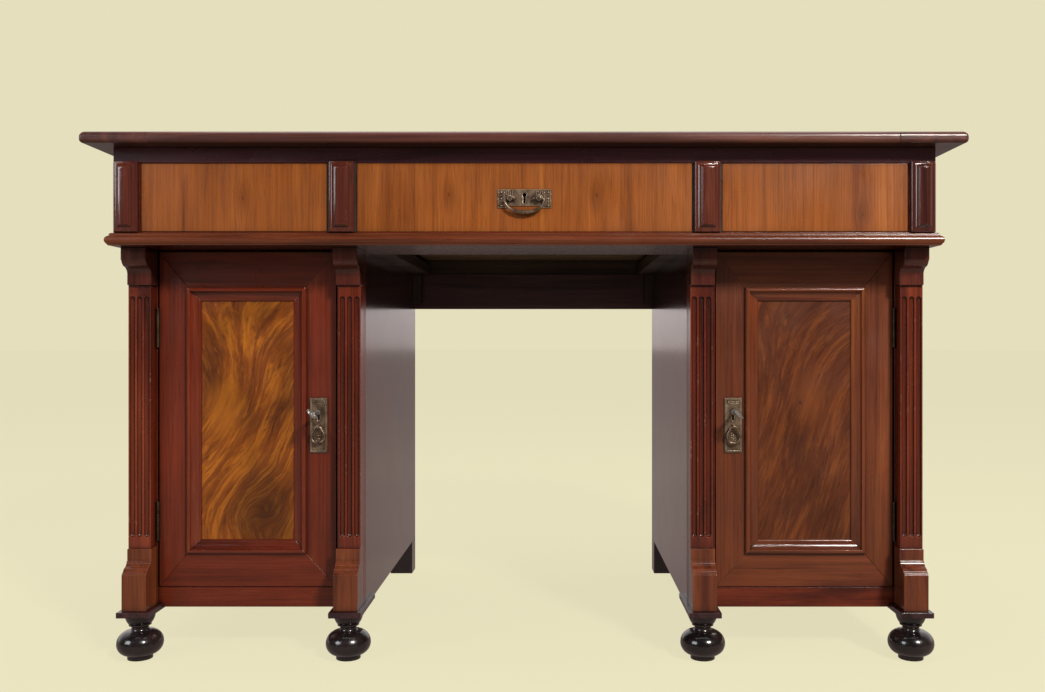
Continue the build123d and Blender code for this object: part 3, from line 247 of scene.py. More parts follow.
def wood_material(
    name,
    colours,
    grain="Z",
    seed=0,
    figure=1.0,
    width=1.0,
    contrast=1.0,
    gloss=0.25,
    coat=0.22,
    wear=0.5,
    streaks=0.8,
    knots=(),
    grime_level=0.30,
):
    """Polished wood: bands of figure, fine pores, slow tone changes, worn edges lightened partly as
    a painted highlight, and painted shade with dirt in grooves and corners.

    Knots are given as X, Z and size, on a board whose grain runs along Z.
    """
    shader = Shader(name)
    dark, middle, light = colours
    scale = GRAIN_SCALES[grain]
    offset = grain_offset(seed)
    place = shader.position
    knot_dark = 0.0
    for knot_x, knot_z, size in knots:
        x, y, z = shader.separate(place)
        aside = shader.math("SUBTRACT", x, knot_x)
        above = shader.math("SUBTRACT", z, knot_z)
        above = shader.math("MULTIPLY", above, KNOT_LENGTHENING)
        distance = shader.length(shader.combine(aside, 0.0, above))
        near = shader.span(distance, 0.0, KNOT_BEND * size, KNOT_BEND_AMOUNT, 0.0, smooth=True)
        x = shader.math("SUBTRACT", x, shader.math("MULTIPLY", aside, near))
        place = shader.combine(x, y, z)
        core = shader.span(distance, 0.2 * size, size, 1.0, 0.0, smooth=True)
        core = shader.math("MULTIPLY", core, KNOT_CORE_AMOUNT)
        shade = shader.span(
            distance, 0.0, KNOT_SHADE * size, KNOT_SHADE_AMOUNT, 0.0, smooth=True
        )
        knot_dark = shader.math("MAXIMUM", knot_dark, shader.math("MAXIMUM", core, shade))
    board = shader.scaled(scale, offset, source=place)
    warp = shader.noise(board, scale=0.9, detail=2, colour=True)
    warped = shader.vector_math("ADD", board, shader.scaled((0.9, 0.9, 0.9), source=warp))
    bands = shader.noise(
        warped, scale=1.6 / width, detail=5, roughness=0.62, distortion=0.6 * figure
    )
    half = 0.20 / contrast
    tone = shader.ramp(
        bands, ((0.52 - half, dark), (0.52, middle), (0.52 + half, light)), smooth=True
    )
    fibre_scale = tuple(value * (12 if value > 1 else 2.2) for value in scale)
    fibres = shader.noise(
        shader.scaled(fibre_scale, offset, source=place), scale=3.2, detail=4, roughness=0.7
    )
    fibre_tone = shader.ramp(fibres, ((0.32, 0.55), (0.50, 0.96), (0.75, 1.22)))
    colour = shader.mix(0.75, tone, fibre_tone, blend="MULTIPLY")
    line_scale = tuple(value * (4.6 if value > 1 else 0.7) for value in scale)
    lines = shader.noise(
        shader.scaled(line_scale, offset, source=place),
        scale=2.4,
        detail=3,
        roughness=0.55,
        distortion=0.3,
    )
    line_tone = shader.ramp(lines, ((0.36, 0.76), (0.47, 1.0), (0.60, 1.10)))
    colour = shader.mix(streaks, colour, line_tone, blend="MULTIPLY")
    pore_scale = tuple(value * (40 if value > 1 else 9) for value in scale)
    pores = shader.noise(shader.scaled(pore_scale, offset), scale=3.0, detail=2, roughness=0.5)
    pore_mask = shader.ramp(pores, ((0.60, 0.0), (0.72, 1.0)))
    colour = shader.mix(
        shader.math("MULTIPLY", pore_mask, 0.55), colour, tuple(0.25 * c for c in dark)
    )
    age = shader.noise(shader.scaled((1, 1, 1), offset), scale=3.2, detail=3, roughness=0.6)
    age_tone = shader.ramp(age, ((0.30, 0.78), (0.70, 1.15)))
    colour = shader.mix(1.0, colour, age_tone, blend="MULTIPLY")
    if knots:
        colour = shader.mix(knot_dark, colour, tuple(0.45 * c for c in dark))
    # Painted shade with the dirt that gathers there: the colour darkens in grooves and corners by
    # how hidden they are.
    grime = shader.crevices(SHADE_AND_GRIME_REACH, grime_level)
    colour = shader.mix(1.0, colour, shader.combine(grime, grime, grime), blend="MULTIPLY")
    edges = shader.sharp_edges(EDGE_WEAR_AND_HIGHLIGHT_REACH, 0.80, 0.985)
    patchy = shader.noise(shader.scaled((1, 1, 1), offset), scale=70, detail=4, roughness=0.65)
    chips = shader.math("MULTIPLY", edges, shader.ramp(patchy, ((0.60, 0.0), (0.68, 1.0))))
    # Edges lighten, partly as polish rubbed through and partly as a painted highlight; chips show
    # bare wood.
    colour = shader.mix(
        shader.math("MULTIPLY", edges, EDGE_RUB_AND_HIGHLIGHT * wear),
        colour,
        tuple(min(1, 1.7 * c + 0.02) for c in light),
    )
    colour = shader.mix(shader.math("MULTIPLY", chips, wear), colour, CHIPPED_WOOD)
    smudge = shader.noise(shader.scaled((1, 1, 1), offset), scale=11, detail=5, roughness=0.6)
    rough = shader.ramp(smudge, ((0.30, gloss * 0.85), (0.72, gloss * 1.3)))
    shader.set(
        Base_Color=colour,
        Roughness=rough,
        Specular_IOR_Level=POLISH_SPECULAR,
        Coat_Weight=coat,
        Coat_Roughness=COAT_ROUGHNESS,
        Coat_IOR=COAT_IOR,
    )
    height = shader.math("ADD", fibres, shader.math("MULTIPLY", pore_mask, -0.6))
    bevel = shader.tree.nodes.new("ShaderNodeBevel")
    bevel.samples = NODE_SAMPLES
    bevel.inputs["Radius"].default_value = ARRIS_SHEEN_REACH
    shader.set(Normal=shader.bump(height, 0.16, 0.0006, bevel.outputs[0]))
    return shader.material


def figured_material(
    name, colours, box, seed, lean, sweep, swirl, knot_at, knot_size, glow_at, clouds, spread
):
    """A veneer cut near a crotch: grain that sweeps sideways, with a knot and a pale glow.

    Places are measured from the middle of the panel, as X and Z in metres.
    """
    shader = Shader(name)
    dark, middle, light = colours
    low, high = box
    centre = tuple((a + b) / 2 for a, b in zip(low, high))
    local = shader.vector_math("SUBTRACT", shader.position, centre)
    wander = shader.noise(
        shader.scaled((11, 11, 6), grain_offset(seed)), scale=1.0, detail=4, colour=True
    )
    wander = shader.vector_math("SUBTRACT", wander, (0.5, 0.5, 0.5))
    local = shader.vector_math("ADD", local, shader.scaled((swirl,) * 3, source=wander))
    x, _, z = shader.separate(local)

    def distance_to(spot, stretch):
        offset = shader.vector_math("SUBTRACT", local, (spot[0], 0, spot[1]))
        return shader.length(shader.vector_math("MULTIPLY", offset, (1, 0, stretch)))

    knot = distance_to(knot_at, 0.8)
    near_knot = shader.span(knot, 0.0, 3.2 * knot_size, 1.0, 0.0, smooth=True)
    along = shader.math("MULTIPLY", shader.math("SUBTRACT", x, knot_at[0]), near_knot)
    across = shader.math("SUBTRACT", x, shader.math("MULTIPLY", z, lean))
    across = shader.math("SUBTRACT", across, shader.span(z, -0.17, 0.06, 0.0, sweep, smooth=True))
    fan = shader.math("MULTIPLY", x, shader.span(z, 0.02, 0.20, 0.0, 0.7, smooth=True))
    across = shader.math("SUBTRACT", shader.math("SUBTRACT", across, fan), along)
    across = shader.math(
        "ADD", across, shader.math("MULTIPLY", shader.math("MULTIPLY", near_knot, knot), 0.8)
    )

    def streaks(across_scale, along_scale, detail, roughness, shift=0.0, distortion=0.0):
        place = shader.combine(
            shader.math("MULTIPLY", across, across_scale),
            seed + shift,
            shader.math("MULTIPLY", z, along_scale),
        )
        return shader.noise(
            place, scale=1.0, detail=detail, roughness=roughness, distortion=distortion
        )

    bands = streaks(48, 7, 8, 0.74, distortion=0.5)
    colour = shader.ramp(
        bands,
        (
            (0.46 - 0.18 * spread, dark),
            (0.46, middle),
            (0.46 + 0.14 * spread, light),
            (0.46 + 0.30 * spread, middle),
        ),
        smooth=True,
    )
    fine = streaks(340, 22, 4, 0.7, 3.1)
    colour = shader.mix(
        0.9, colour, shader.ramp(fine, ((0.30, 0.58), (0.5, 1.0), (0.72, 1.25))), blend="MULTIPLY"
    )
    dashes = shader.ramp(streaks(150, 24, 4, 0.65, 7.7, 0.5), ((0.55, 0.0), (0.68, 1.0)))
    colour = shader.mix(shader.math("MULTIPLY", dashes, 0.6), colour, dark)
    flecks = shader.ramp(streaks(170, 30, 3, 0.6, 12.9, 0.5), ((0.58, 0.0), (0.72, 1.0)))
    colour = shader.mix(
        shader.math("MULTIPLY", flecks, 0.45), colour, tuple(min(1, 1.5 * c) for c in light)
    )
    cloud = shader.noise(shader.scaled((11, 11, 7), grain_offset(seed)), scale=1.0, detail=2)
    cloud_tone = shader.ramp(cloud, ((0.32, clouds), (0.52, 1.0), (0.72, 1.18)))
    colour = shader.mix(1.0, colour, cloud_tone, blend="MULTIPLY")
    glow = shader.span(distance_to(glow_at, 0.6), 0.0, 0.042, 0.58, 0.0, smooth=True)
    colour = shader.mix(glow, colour, tuple(min(1, 1.2 * c) for c in light))
    core = shader.math(
        "MULTIPLY", shader.span(knot, 0.2 * knot_size, 1.2 * knot_size, 1.0, 0.0, smooth=True), 0.6
    )
    colour = shader.mix(core, colour, tuple(0.4 * c for c in dark))
    smudge = shader.noise(shader.position, scale=14, detail=5, roughness=0.6)
    shader.set(
        Base_Color=colour,
        Roughness=shader.ramp(smudge, ((0.3, 0.26), (0.7, 0.40))),
        Specular_IOR_Level=POLISH_SPECULAR,
        Coat_Weight=0.2,
        Coat_Roughness=0.16,
        Coat_IOR=COAT_IOR,
        Normal=shader.bump(fine, 0.10, 0.0005),
    )
    return shader.material


BLACK_RUB_REACH = 0.0014
RUBBED_BLACK = (0.16, 0.08, 0.05)


def black_polish():
    """Ebonised beech: black with a brown cast, cloudy in tone, with rubbed rims."""
    shader = Shader("ebonised_polish")
    cloud = shader.noise(shader.position, scale=26, detail=5, roughness=0.6)
    colour = shader.ramp(cloud, ((0.35, (0.004, 0.003, 0.0035)), (0.75, (0.022, 0.012, 0.011))))
    edges = shader.sharp_edges(BLACK_RUB_REACH, 0.80, 0.98)
    rub = shader.noise(shader.position, scale=120, detail=3)
    rubbed = shader.math("MULTIPLY", edges, shader.ramp(rub, ((0.45, 0.0), (0.62, 1.0))))
    colour = shader.mix(shader.math("MULTIPLY", rubbed, 0.6), colour, RUBBED_BLACK)
    shader.set(
        Base_Color=colour,
        Roughness=shader.ramp(cloud, ((0.3, 0.16), (0.75, 0.34))),
        Coat_Weight=0.7,
        Coat_Roughness=0.08,
        Normal=shader.bump(rub, 0.05, 0.0004),
    )
    return shader.material


METAL_RUB_REACH = 0.0013
METAL_GRIME_REACH = 0.004
METAL_GRIME = 0.22
METAL_ROUNDING = 0.0005


def aged_metal(name, dark, light, bright, roughness):
    """Handled metal: a dull film with tarnish clouds, rubbed bright along its edges."""
    shader = Shader(name)
    cloud = shader.noise(shader.position, scale=90, detail=5, roughness=0.65)
    colour = shader.ramp(cloud, ((0.34, dark), (0.68, light)))
    edges = shader.sharp_edges(METAL_RUB_REACH, 0.74, 0.98)
    colour = shader.mix(shader.math("MULTIPLY", edges, 0.85), colour, bright)
    grime = shader.crevices(METAL_GRIME_REACH, METAL_GRIME)
    colour = shader.mix(1.0, colour, shader.combine(grime, grime, grime), blend="MULTIPLY")
    pits = shader.noise(shader.position, scale=420, detail=3, roughness=0.6)
    rough = shader.ramp(cloud, ((0.30, roughness * 0.8), (0.75, roughness * 1.35)))
    bevel = shader.tree.nodes.new("ShaderNodeBevel")
    bevel.samples = NODE_SAMPLES
    bevel.inputs["Radius"].default_value = METAL_ROUNDING
    shader.set(
        Base_Color=colour,
        Metallic=0.7,
        Roughness=rough,
        Normal=shader.bump(pits, 0.22, 0.0003, bevel.outputs[0]),
    )
    return shader.material


# Woods, each as its dark, middle and light tone.
MAHOGANY = ((0.055, 0.0066, 0.0026), (0.134, 0.0185, 0.0062), (0.218, 0.0395, 0.0125))
MAHOGANY_LIGHT = ((0.066, 0.0120, 0.0046), (0.140, 0.0320, 0.0105), (0.230, 0.0640, 0.0190))
DARK_MAHOGANY = ((0.026, 0.0046, 0.0040), (0.058, 0.0110, 0.0082), (0.098, 0.0220, 0.0140))
REDDISH_WOOD = ((0.036, 0.0066, 0.0046), (0.082, 0.0165, 0.0098), (0.135, 0.0340, 0.0185))
PURPLE_WOOD = ((0.034, 0.0080, 0.0120), (0.068, 0.0180, 0.0250), (0.110, 0.0350, 0.0450))
TOP_WOOD = ((0.040, 0.0110, 0.0090), (0.088, 0.0260, 0.0190), (0.150, 0.0500, 0.0340))
WALNUT = ((0.142, 0.0320, 0.0052), (0.266, 0.0725, 0.0112), (0.371, 0.1150, 0.0190))
LEFT_FIGURE = ((0.056, 0.0115, 0.0015), (0.180, 0.0420, 0.0028), (0.330, 0.0980, 0.0060))
RIGHT_FIGURE = ((0.038, 0.0072, 0.0020), (0.082, 0.0170, 0.0036), (0.148, 0.0370, 0.0062))
PLAIN_WOOD = ((0.110, 0.0560, 0.0260), (0.190, 0.1060, 0.0500), (0.270, 0.1650, 0.0860))
DARK_WOOD = ((0.026, 0.0120, 0.0075), (0.056, 0.0270, 0.0160), (0.090, 0.0460, 0.0280))
APRON_WOOD = ((0.046, 0.0180, 0.0240), (0.096, 0.0380, 0.0480), (0.150, 0.0640, 0.0760))
DARK_BACK = ((0.018, 0.0076, 0.0088), (0.040, 0.0160, 0.0180), (0.066, 0.0270, 0.0290))

# ------------------------------------------------------------------ Boards cut from the frame


WELD_DISTANCE = 1e-6
FLAT_DEGREES = 0.5
JUST_INSIDE = 0.0004
ARRIS_DEGREES = 35
ARRIS_RADIUS = 0.0008


def welded(faces):
    """A bmesh of some of a mesh's faces, welded, with its flat faces made whole."""
    part = bmesh.new()
    for corners in faces:
        part.faces.new([part.verts.new(corner) for corner in corners])
    bmesh.ops.remove_doubles(part, verts=part.verts, dist=WELD_DISTANCE)
    bmesh.ops.dissolve_limit(
        part, angle_limit=math.radians(FLAT_DEGREES), verts=part.verts, edges=part.edges
    )
    return part


def board_parts(node, member_of=None):
    """The separate solids of a CAD node, each as a bmesh.

    Solids that touch, as the members of a mitred frame do, are told apart by member_of,
    which names the member that a point just under a face belongs to.
    """
    mesh = nodes[node].data
    members = {}
    for polygon in mesh.polygons:
        inside = polygon.center - JUST_INSIDE * polygon.normal
        key = member_of(inside) if member_of else 0
        corners = [mesh.vertices[index].co.copy() for index in polygon.vertices]
        members.setdefault(key, []).append(corners)
    parts = []
    for key in sorted(members):
        whole = welded(members[key])
        unseen = set(whole.verts)
        while unseen:
            stack = [next(v for v in whole.verts if v in unseen)]
            group = set(stack)
            while stack:
                vertex = stack.pop()
                for edge in vertex.link_edges:
                    other = edge.other_vert(vertex)
                    if other not in group:
                        group.add(other)
                        stack.append(other)
            unseen -= group
            part = bmesh.new()
            copies = {v: part.verts.new(v.co) for v in whole.verts if v in group}
            for face in whole.faces:
                if face.verts[0] in group:
                    part.faces.new([copies[v] for v in face.verts])
            parts.append(part)
        whole.free()
    parts.sort(key=lambda part: tuple(round(c, 3) for c in part_centre(part)))
    return parts


def member_of_frame(outer, inner):
    """Tell a mitred frame's rails from its stiles, from its outer and inner rectangles."""

    def member(point):
        depths = {}
        for axis, low_name, high_name in ((0, "left", "right"), (2, "bottom", "top")):
            low_width = inner[0][axis] - outer[0][axis]
            high_width = outer[1][axis] - inner[1][axis]
            depths[low_name] = (point[axis] - outer[0][axis]) / low_width
            depths[high_name] = (outer[1][axis] - point[axis]) / high_width
        return min(depths, key=depths.get)

    return member


def member_of_waist(point):
    """The front bar of the waist moulding, or one of its two returns."""
    corner_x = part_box("frieze_ends")[1][0]
    corner_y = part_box("frieze_top_rail")[0][1]
    if abs(point.x) - corner_x < corner_y - point.y:
        return "front"
    return "left" if point.x < 0 else "right"


def part_centre(part):
    corners = [v.co for v in part.verts]
    return [
        (min(c[axis] for c in corners) + max(c[axis] for c in corners)) / 2 for axis in range(3)
    ]


def board_piece(name, part, node, material, round_by=ARRIS_RADIUS):
    """A board of its own: the solid's shape with rounded arrises and its own grain."""
    mesh = bpy.data.meshes.new(name)
    part.to_mesh(mesh)
    part.free()
    piece = bpy.data.objects.new(name, mesh)
    bpy.context.scene.collection.objects.link(piece)
    mesh.materials.append(material)
    for polygon in mesh.polygons:
        polygon.use_smooth = True
    if round_by:
        bevel = piece.modifiers.new("arris", "BEVEL")
        bevel.width = round_by
        bevel.segments = 2
        bevel.limit_method = "ANGLE"
        bevel.angle_limit = math.radians(ARRIS_DEGREES)
        bevel.harden_normals = False
    normals = piece.modifiers.new("normals", "WEIGHTED_NORMAL")
    normals.keep_sharp = True
    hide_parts(node)
    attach(piece, body_of_node[node])
    return piece


def longest_axis(part):
    corners = [v.co for v in part.verts]
    extents = [
        max(c[axis] for c in corners) - min(c[axis] for c in corners) for axis in range(3)
    ]
    return "XYZ"[extents.index(max(extents))]


# Finer arrises on small mouldings than on boards.
TABLET_ARRIS = 0.0005
MOULDING_ARRIS = 0.0004

# How wide the bars of a door moulding are taken to be when its members are told apart.
MOULDING_WIDTH = 0.02

# Pin knots in the drawer fronts: X, Z and size.
DRAWER_KNOTS = {
    "left": ((-0.417, 0.696, 0.0030),),
    "centre": ((-0.112, 0.701, 0.0028), (0.107, 0.700, 0.0032)),
    "right": ((0.500, 0.672, 0.0026),),
}

seed_count = 0


def cut_boards(node, colours, grain=None, round_by=ARRIS_RADIUS, member_of=None, **look):
    """Replace a CAD node by its boards, each with the grain along its own length."""
    global seed_count
    for number, part in enumerate(board_parts(node, member_of), start=1):
        seed_count += 1
        direction = grain or longest_axis(part)
        material = wood_material(
            f"{node}_{number}_wood", colours, direction, seed=seed_count, **look
        )
        board_piece(f"{node}_{number}_board", part, node, material, round_by)


cut_boards("top_panel", TOP_WOOD, "X", gloss=0.30, wear=1.0)
cut_boards("top_end_clamps", TOP_WOOD, "Y", gloss=0.30, wear=1.0)
cut_boards("frieze_top_rail", PURPLE_WOOD, "X", grime_level=0.7)
cut_boards("frieze_bottom_rail", MAHOGANY, "X", wear=0.7)
cut_boards("waist_moulding", MAHOGANY_LIGHT, wear=0.8, member_of=member_of_waist)
# The tablets' strong edge lightening is partly a painted highlight.
cut_boards(
    "frieze_tablets",
    REDDISH_WOOD,
    "Z",
    round_by=TABLET_ARRIS,
    gloss=0.13,
    coat=0.9,
    wear=1.2,
)
cut_boards("front_stiles", MAHOGANY, "Z")
cut_boards("plinth_rails", MAHOGANY, "X", wear=0.7)
# The capitals take a darker wood than the shafts: partly their own colour, partly painted shade.
cut_boards("pilaster_capitals", REDDISH_WOOD, "Z", gloss=0.20, coat=0.5, wear=0.8, grime_level=0.2)
cut_boards("plinth_blocks", MAHOGANY_LIGHT, "Z", gloss=0.20, coat=0.5, wear=1.0, grime_level=0.2)
cut_boards("foot_plates", DARK_BACK, "Y", wear=0.8, gloss=0.2)
for side, frame_wood in (("left", MAHOGANY), ("right", MAHOGANY_LIGHT)):
    panel_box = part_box(f"{side}_door_panel")
    moulding_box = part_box(f"{side}_door_moulding")
    cut_boards(
        f"{side}_door_frame",
        frame_wood,
        member_of=member_of_frame(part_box(f"{side}_door_frame"), panel_box),
        gloss=0.30,
        contrast=0.8,
    )
    inner = tuple(
        tuple(value + sign * MOULDING_WIDTH for value in corner)
        for corner, sign in zip(moulding_box, (1, -1))
    )
    cut_boards(
        f"{side}_door_moulding",
        frame_wood,
        member_of=member_of_frame(moulding_box, inner),
        round_by=MOULDING_ARRIS,
        gloss=0.17,
        coat=0.6,
        wear=0.9,
        grime_level=0.15,
    )
    cut_boards(f"{side}_pedestal_sides", DARK_MAHOGANY, "Z", gloss=0.15, coat=0.8, wear=0.4)
for side, knots in DRAWER_KNOTS.items():
    cut_boards(
        f"{side}_drawer_front",
        WALNUT,
        "Z",
        figure=1.6,
        width=0.75,
        contrast=0.62,
        streaks=0.5,
        gloss=0.28,
        wear=0.6,
        knots=knots,
    )

# ------------------------------------------------------------------ Materials on the frame


def finish(node, material):
    """Give its material to a CAD node that is shown as it stands."""
    piece = nodes[node]
    piece.data.materials.clear()
    piece.data.materials.append(material)


finish("frieze_ends", wood_material("frieze_end_wood", MAHOGANY, "Y", seed=61, gloss=0.2))
finish(
    "pilaster_shafts",
    wood_material("pilaster_wood", MAHOGANY, "Z", seed=62, coat=0.5, wear=0.9, grime_level=0.2),
)
finish("kneehole_apron", wood_material("apron_wood", APRON_WOOD, "X", seed=63, gloss=0.4))
plain = wood_material("plain_wood_along", PLAIN_WOOD, "Y", seed=64, gloss=0.6, wear=0.1)
plain_across = wood_material("plain_wood_across", PLAIN_WOOD, "X", seed=66, gloss=0.6, wear=0.1)
dark_back = wood_material("back_wood", DARK_WOOD, "Z", seed=67, gloss=0.5, wear=0.2)
dark_inside = wood_material("inside_wood", DARK_WOOD, "Y", seed=68, gloss=0.55, wear=0.2)
for node in ("cupboard_floors", "cupboard_shelves", "pedestal_tops"):
    finish(node, plain)
for node in ("drawer_runners", "drawer_kickers", "frieze_partitions"):
    finish(node, dark_inside)
for side in ("left", "centre", "right"):
    finish(f"{side}_drawer_sides_and_back", plain)
    finish(f"{side}_drawer_bottom", plain_across)
finish("pedestal_backs", dark_back)
finish("frieze_back", wood_material("frieze_back_wood", DARK_WOOD, "X", seed=69, gloss=0.5))
finish("apron_glue_blocks", dark_back)

black = black_polish()
finish("bun_feet", black)
finish("rear_feet", black)

for side, figure in (
    (
        "left",
        {
            "colours": LEFT_FIGURE,
            "seed": 7,
            "lean": 0.10,
            "sweep": 0.090,
            "swirl": 0.034,
            "knot_at": (0.022, -0.138),
            "knot_size": 0.020,
            "glow_at": (-0.035, 0.02),
            "clouds": 0.50,
            "spread": 1.0,
        },
    ),
    (
        "right",
        {
            "colours": RIGHT_FIGURE,
            "seed": 12,
            "lean": 0.30,
            "sweep": 0.0,
            "swirl": 0.012,
            "knot_at": (-0.008, 0.028),
            "knot_size": 0.003,
            "glow_at": (0.008, 0.036),
            "clouds": 0.78,
            "spread": 1.25,
        },
    ),
):
    finish(
        f"{side}_door_panel",
        figured_material(f"{side}_panel_veneer", box=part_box(f"{side}_door_panel"), **figure),
    )

brass = aged_metal(
    "aged_brass", (0.100, 0.063, 0.039), (0.32, 0.222, 0.150), (1.0, 0.84, 0.60), 0.31
)
steel = aged_metal(
    "bright_steel", (0.20, 0.19, 0.18), (0.46, 0.44, 0.41), (0.85, 0.82, 0.78), 0.30
)
dull_iron = aged_metal(
    "dull_iron", (0.010, 0.009, 0.008), (0.030, 0.027, 0.024), (0.10, 0.09, 0.08), 0.45
)
tarnished = aged_metal(
    "tarnished_brass", (0.030, 0.018, 0.010), (0.075, 0.048, 0.026), (0.20, 0.14, 0.08), 0.45
)
for node, slot in slot_of_node.items():
    if slot == "aged_brass":
        finish(node, tarnished if "hinge" in node else brass)
    if slot == "steel":
        finish(node, steel if "key" in node else dull_iron)

# ------------------------------------------------------------------ Relief on the brass

# Beads and rods are half sunk in the plate that carries them. Sizes are in metres.
BEAD_SEGMENTS = 16
BEAD_RINGS = 10
ROD_SIDES = 12


def dome(work, place, radii):
    """A low bead, flattened along Y, half sunk in the plate behind it."""
    made = bmesh.ops.create_uvsphere(
        work, u_segments=BEAD_SEGMENTS, v_segments=BEAD_RINGS, radius=1.0
    )
    bmesh.ops.scale(work, vec=radii, verts=made["verts"])
    bmesh.ops.translate(work, vec=place, verts=made["verts"])


def rope(work, points, radius, closed=False, radii=None, depth=1.0):
    """A rod along the points, which lie in a plane Y=constant; depth flattens it along Y."""
    count = len(points)
    rings = []
    for number, point in enumerate(points):
        before = points[(number - 1) % count] if closed or number else point
        after = points[(number + 1) % count] if closed or number < count - 1 else point
        along = (Vector(after) - Vector(before)).normalized()
        outward = Vector((along.z, 0, -along.x))
        size = radii[number] if radii else radius
        ring = []
        for side in range(ROD_SIDES):
            angle = 2 * math.pi * side / ROD_SIDES
            offset = outward * math.cos(angle) + Vector((0, depth, 0)) * math.sin(angle)
            ring.append(work.verts.new(Vector(point) + offset * size))
        rings.append(ring)
    pairs = list(zip(rings, rings[1:] + (rings[:1] if closed else [])))
    for first, second in pairs:
        for side in range(ROD_SIDES):
            following = (side + 1) % ROD_SIDES
            work.faces.new((first[side], first[following], second[following], second[side]))
    if not closed:
        work.faces.new(list(reversed(rings[0])))
        work.faces.new(rings[-1])


def arc(centre, radius_x, radius_z, start, end, steps, y):
    """Points on part of an ellipse, from one angle in degrees to another."""
    points = []
    for step in range(steps + 1):
        angle = math.radians(start + (end - start) * step / steps)
        points.append(
            (centre[0] + radius_x * math.cos(angle), y, centre[1] + radius_z * math.sin(angle))
        )
    return points


def brass_piece(name, work, node, material, replace=False):
    bmesh.ops.recalc_face_normals(work, faces=work.faces)
    mesh = bpy.data.meshes.new(name)
    work.to_mesh(mesh)
    work.free()
    piece = bpy.data.objects.new(name, mesh)
    bpy.context.scene.collection.objects.link(piece)
    mesh.materials.append(material)
    for polygon in mesh.polygons:
        polygon.use_smooth = True
    if replace:
        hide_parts(node)
    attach(piece, body_of_node[node])


RIM_RADIUS = 0.0042
RIM_ARC_START = -52
RIM_ARC_END = 232
RIM_ARC_STEPS = 20
RIM_SLOT_HALF = 0.0026
RIM_SLOT_DEPTH = 0.0125
RIM_TIP_DEPTH = 0.0139
RIM_ROD = 0.0006


def keyhole_rim(work, x, z, y):
    """A raised rim that follows the keyhole: round above, narrow below."""
    outline = arc((x, z), RIM_RADIUS, RIM_RADIUS, RIM_ARC_START, RIM_ARC_END, RIM_ARC_STEPS, y)
    outline += [
        (x - RIM_SLOT_HALF, y, z - RIM_SLOT_DEPTH),
        (x, y, z - RIM_TIP_DEPTH),
        (x + RIM_SLOT_HALF, y, z - RIM_SLOT_DEPTH),
    ]
    rope(work, outline, RIM_ROD, closed=True)


PLATE_THICKNESS = 0.0015
BAIL_WIRE = 0.0019
POST_ASIDE = 0.0215
ROSETTE_RADIUS = 0.0052
ROSETTE_ROD = 0.0009
DRAWER_KEYHOLE_ABOVE_BAIL = 0.006

# Reeds beside the posts.
REED_COUNT = 4
FIRST_REED = 0.0178
REED_PITCH = 0.0030
REED_RADIUS = 0.0010
REED_TOP_MARGIN = 0.0012
REED_LENGTH = 0.0085
REED_STEPS = 6

# The ears of the plate: a column of beads, given as level below the top and size, a foot
# bead, and a rod down either side.
EAR_MIDDLE = 0.0048
EAR_BEADS = ((0.0045, 0.0019), (0.0095, 0.0013), (0.0140, 0.0017), (0.0190, 0.0012))
EAR_BEAD_RISE = 0.0013
EAR_FOOT_MIDDLE = 0.0050
EAR_FOOT_LEVEL = 0.0030
EAR_FOOT = (0.0026, 0.0014, 0.0018)
EAR_RODS = (0.0012, 0.0098)
EAR_ROD_START = 0.0012
EAR_ROD_STEP = 0.0034
EAR_ROD_POINTS = 8
EAR_ROD_RADIUS = 0.0007

plate_low, plate_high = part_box("drawer_handle_plate")
plate_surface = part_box("centre_drawer_front")[0][1] - PLATE_THICKNESS
bail_low, bail_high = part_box("bail_handle")
bail_axis = (bail_low[1] + bail_high[1]) / 2
bail_top = bail_high[2] - BAIL_WIRE
plate_half = plate_high[0]

relief = bmesh.new()
for hand in (-1, 1):
    for reed in range(REED_COUNT):
        reed_x = hand * (FIRST_REED + REED_PITCH * reed)
        reed_top = plate_high[2] - REED_TOP_MARGIN
        rope(
            relief,
            [
                (reed_x, plate_surface, reed_top - REED_LENGTH * step / REED_STEPS)
                for step in range(REED_STEPS + 1)
            ],
            REED_RADIUS,
        )
    for bead, size in EAR_BEADS:
        dome(
            relief,
            (hand * (plate_half - EAR_MIDDLE), plate_surface, plate_high[2] - bead),
            (size, EAR_BEAD_RISE, size),
        )
    dome(
        relief,
        (hand * (plate_half - EAR_FOOT_MIDDLE), plate_surface, plate_low[2] + EAR_FOOT_LEVEL),
        EAR_FOOT,
    )
    for offset in EAR_RODS:
        rod_x = hand * (plate_half - offset)
        rod_bottom = plate_low[2] + EAR_ROD_START
        rope(
            relief,
            [
                (rod_x, plate_surface, rod_bottom + step * EAR_ROD_STEP)
                for step in range(EAR_ROD_POINTS)
            ],
            EAR_ROD_RADIUS,
        )
    rosette = arc(
        (hand * POST_ASIDE, bail_top), ROSETTE_RADIUS, ROSETTE_RADIUS, 0, 345, 23, plate_surface
    )
    rope(relief, rosette, ROSETTE_ROD, closed=True)
keyhole_rim(relief, 0, bail_top + DRAWER_KEYHOLE_ABOVE_BAIL, plate_surface)
brass_piece("drawer_plate_relief", relief, "drawer_handle_plate", brass)

# The bail: a short straight end, a tight turn down, and a half ellipse that swells.
BAIL_END_RADIUS = 0.0017
BAIL_SWELL = 0.0016
BAIL_LOWEST_RADIUS = BAIL_END_RADIUS + BAIL_SWELL
BAIL_FLATNESS = 0.75
BAIL_TURN = 0.0036
BAIL_TURN_STEPS = 6
BAIL_ARC_STEPS = 40
BAIL_END_LENGTH = 0.0135
BAIL_END_STEPS = 3

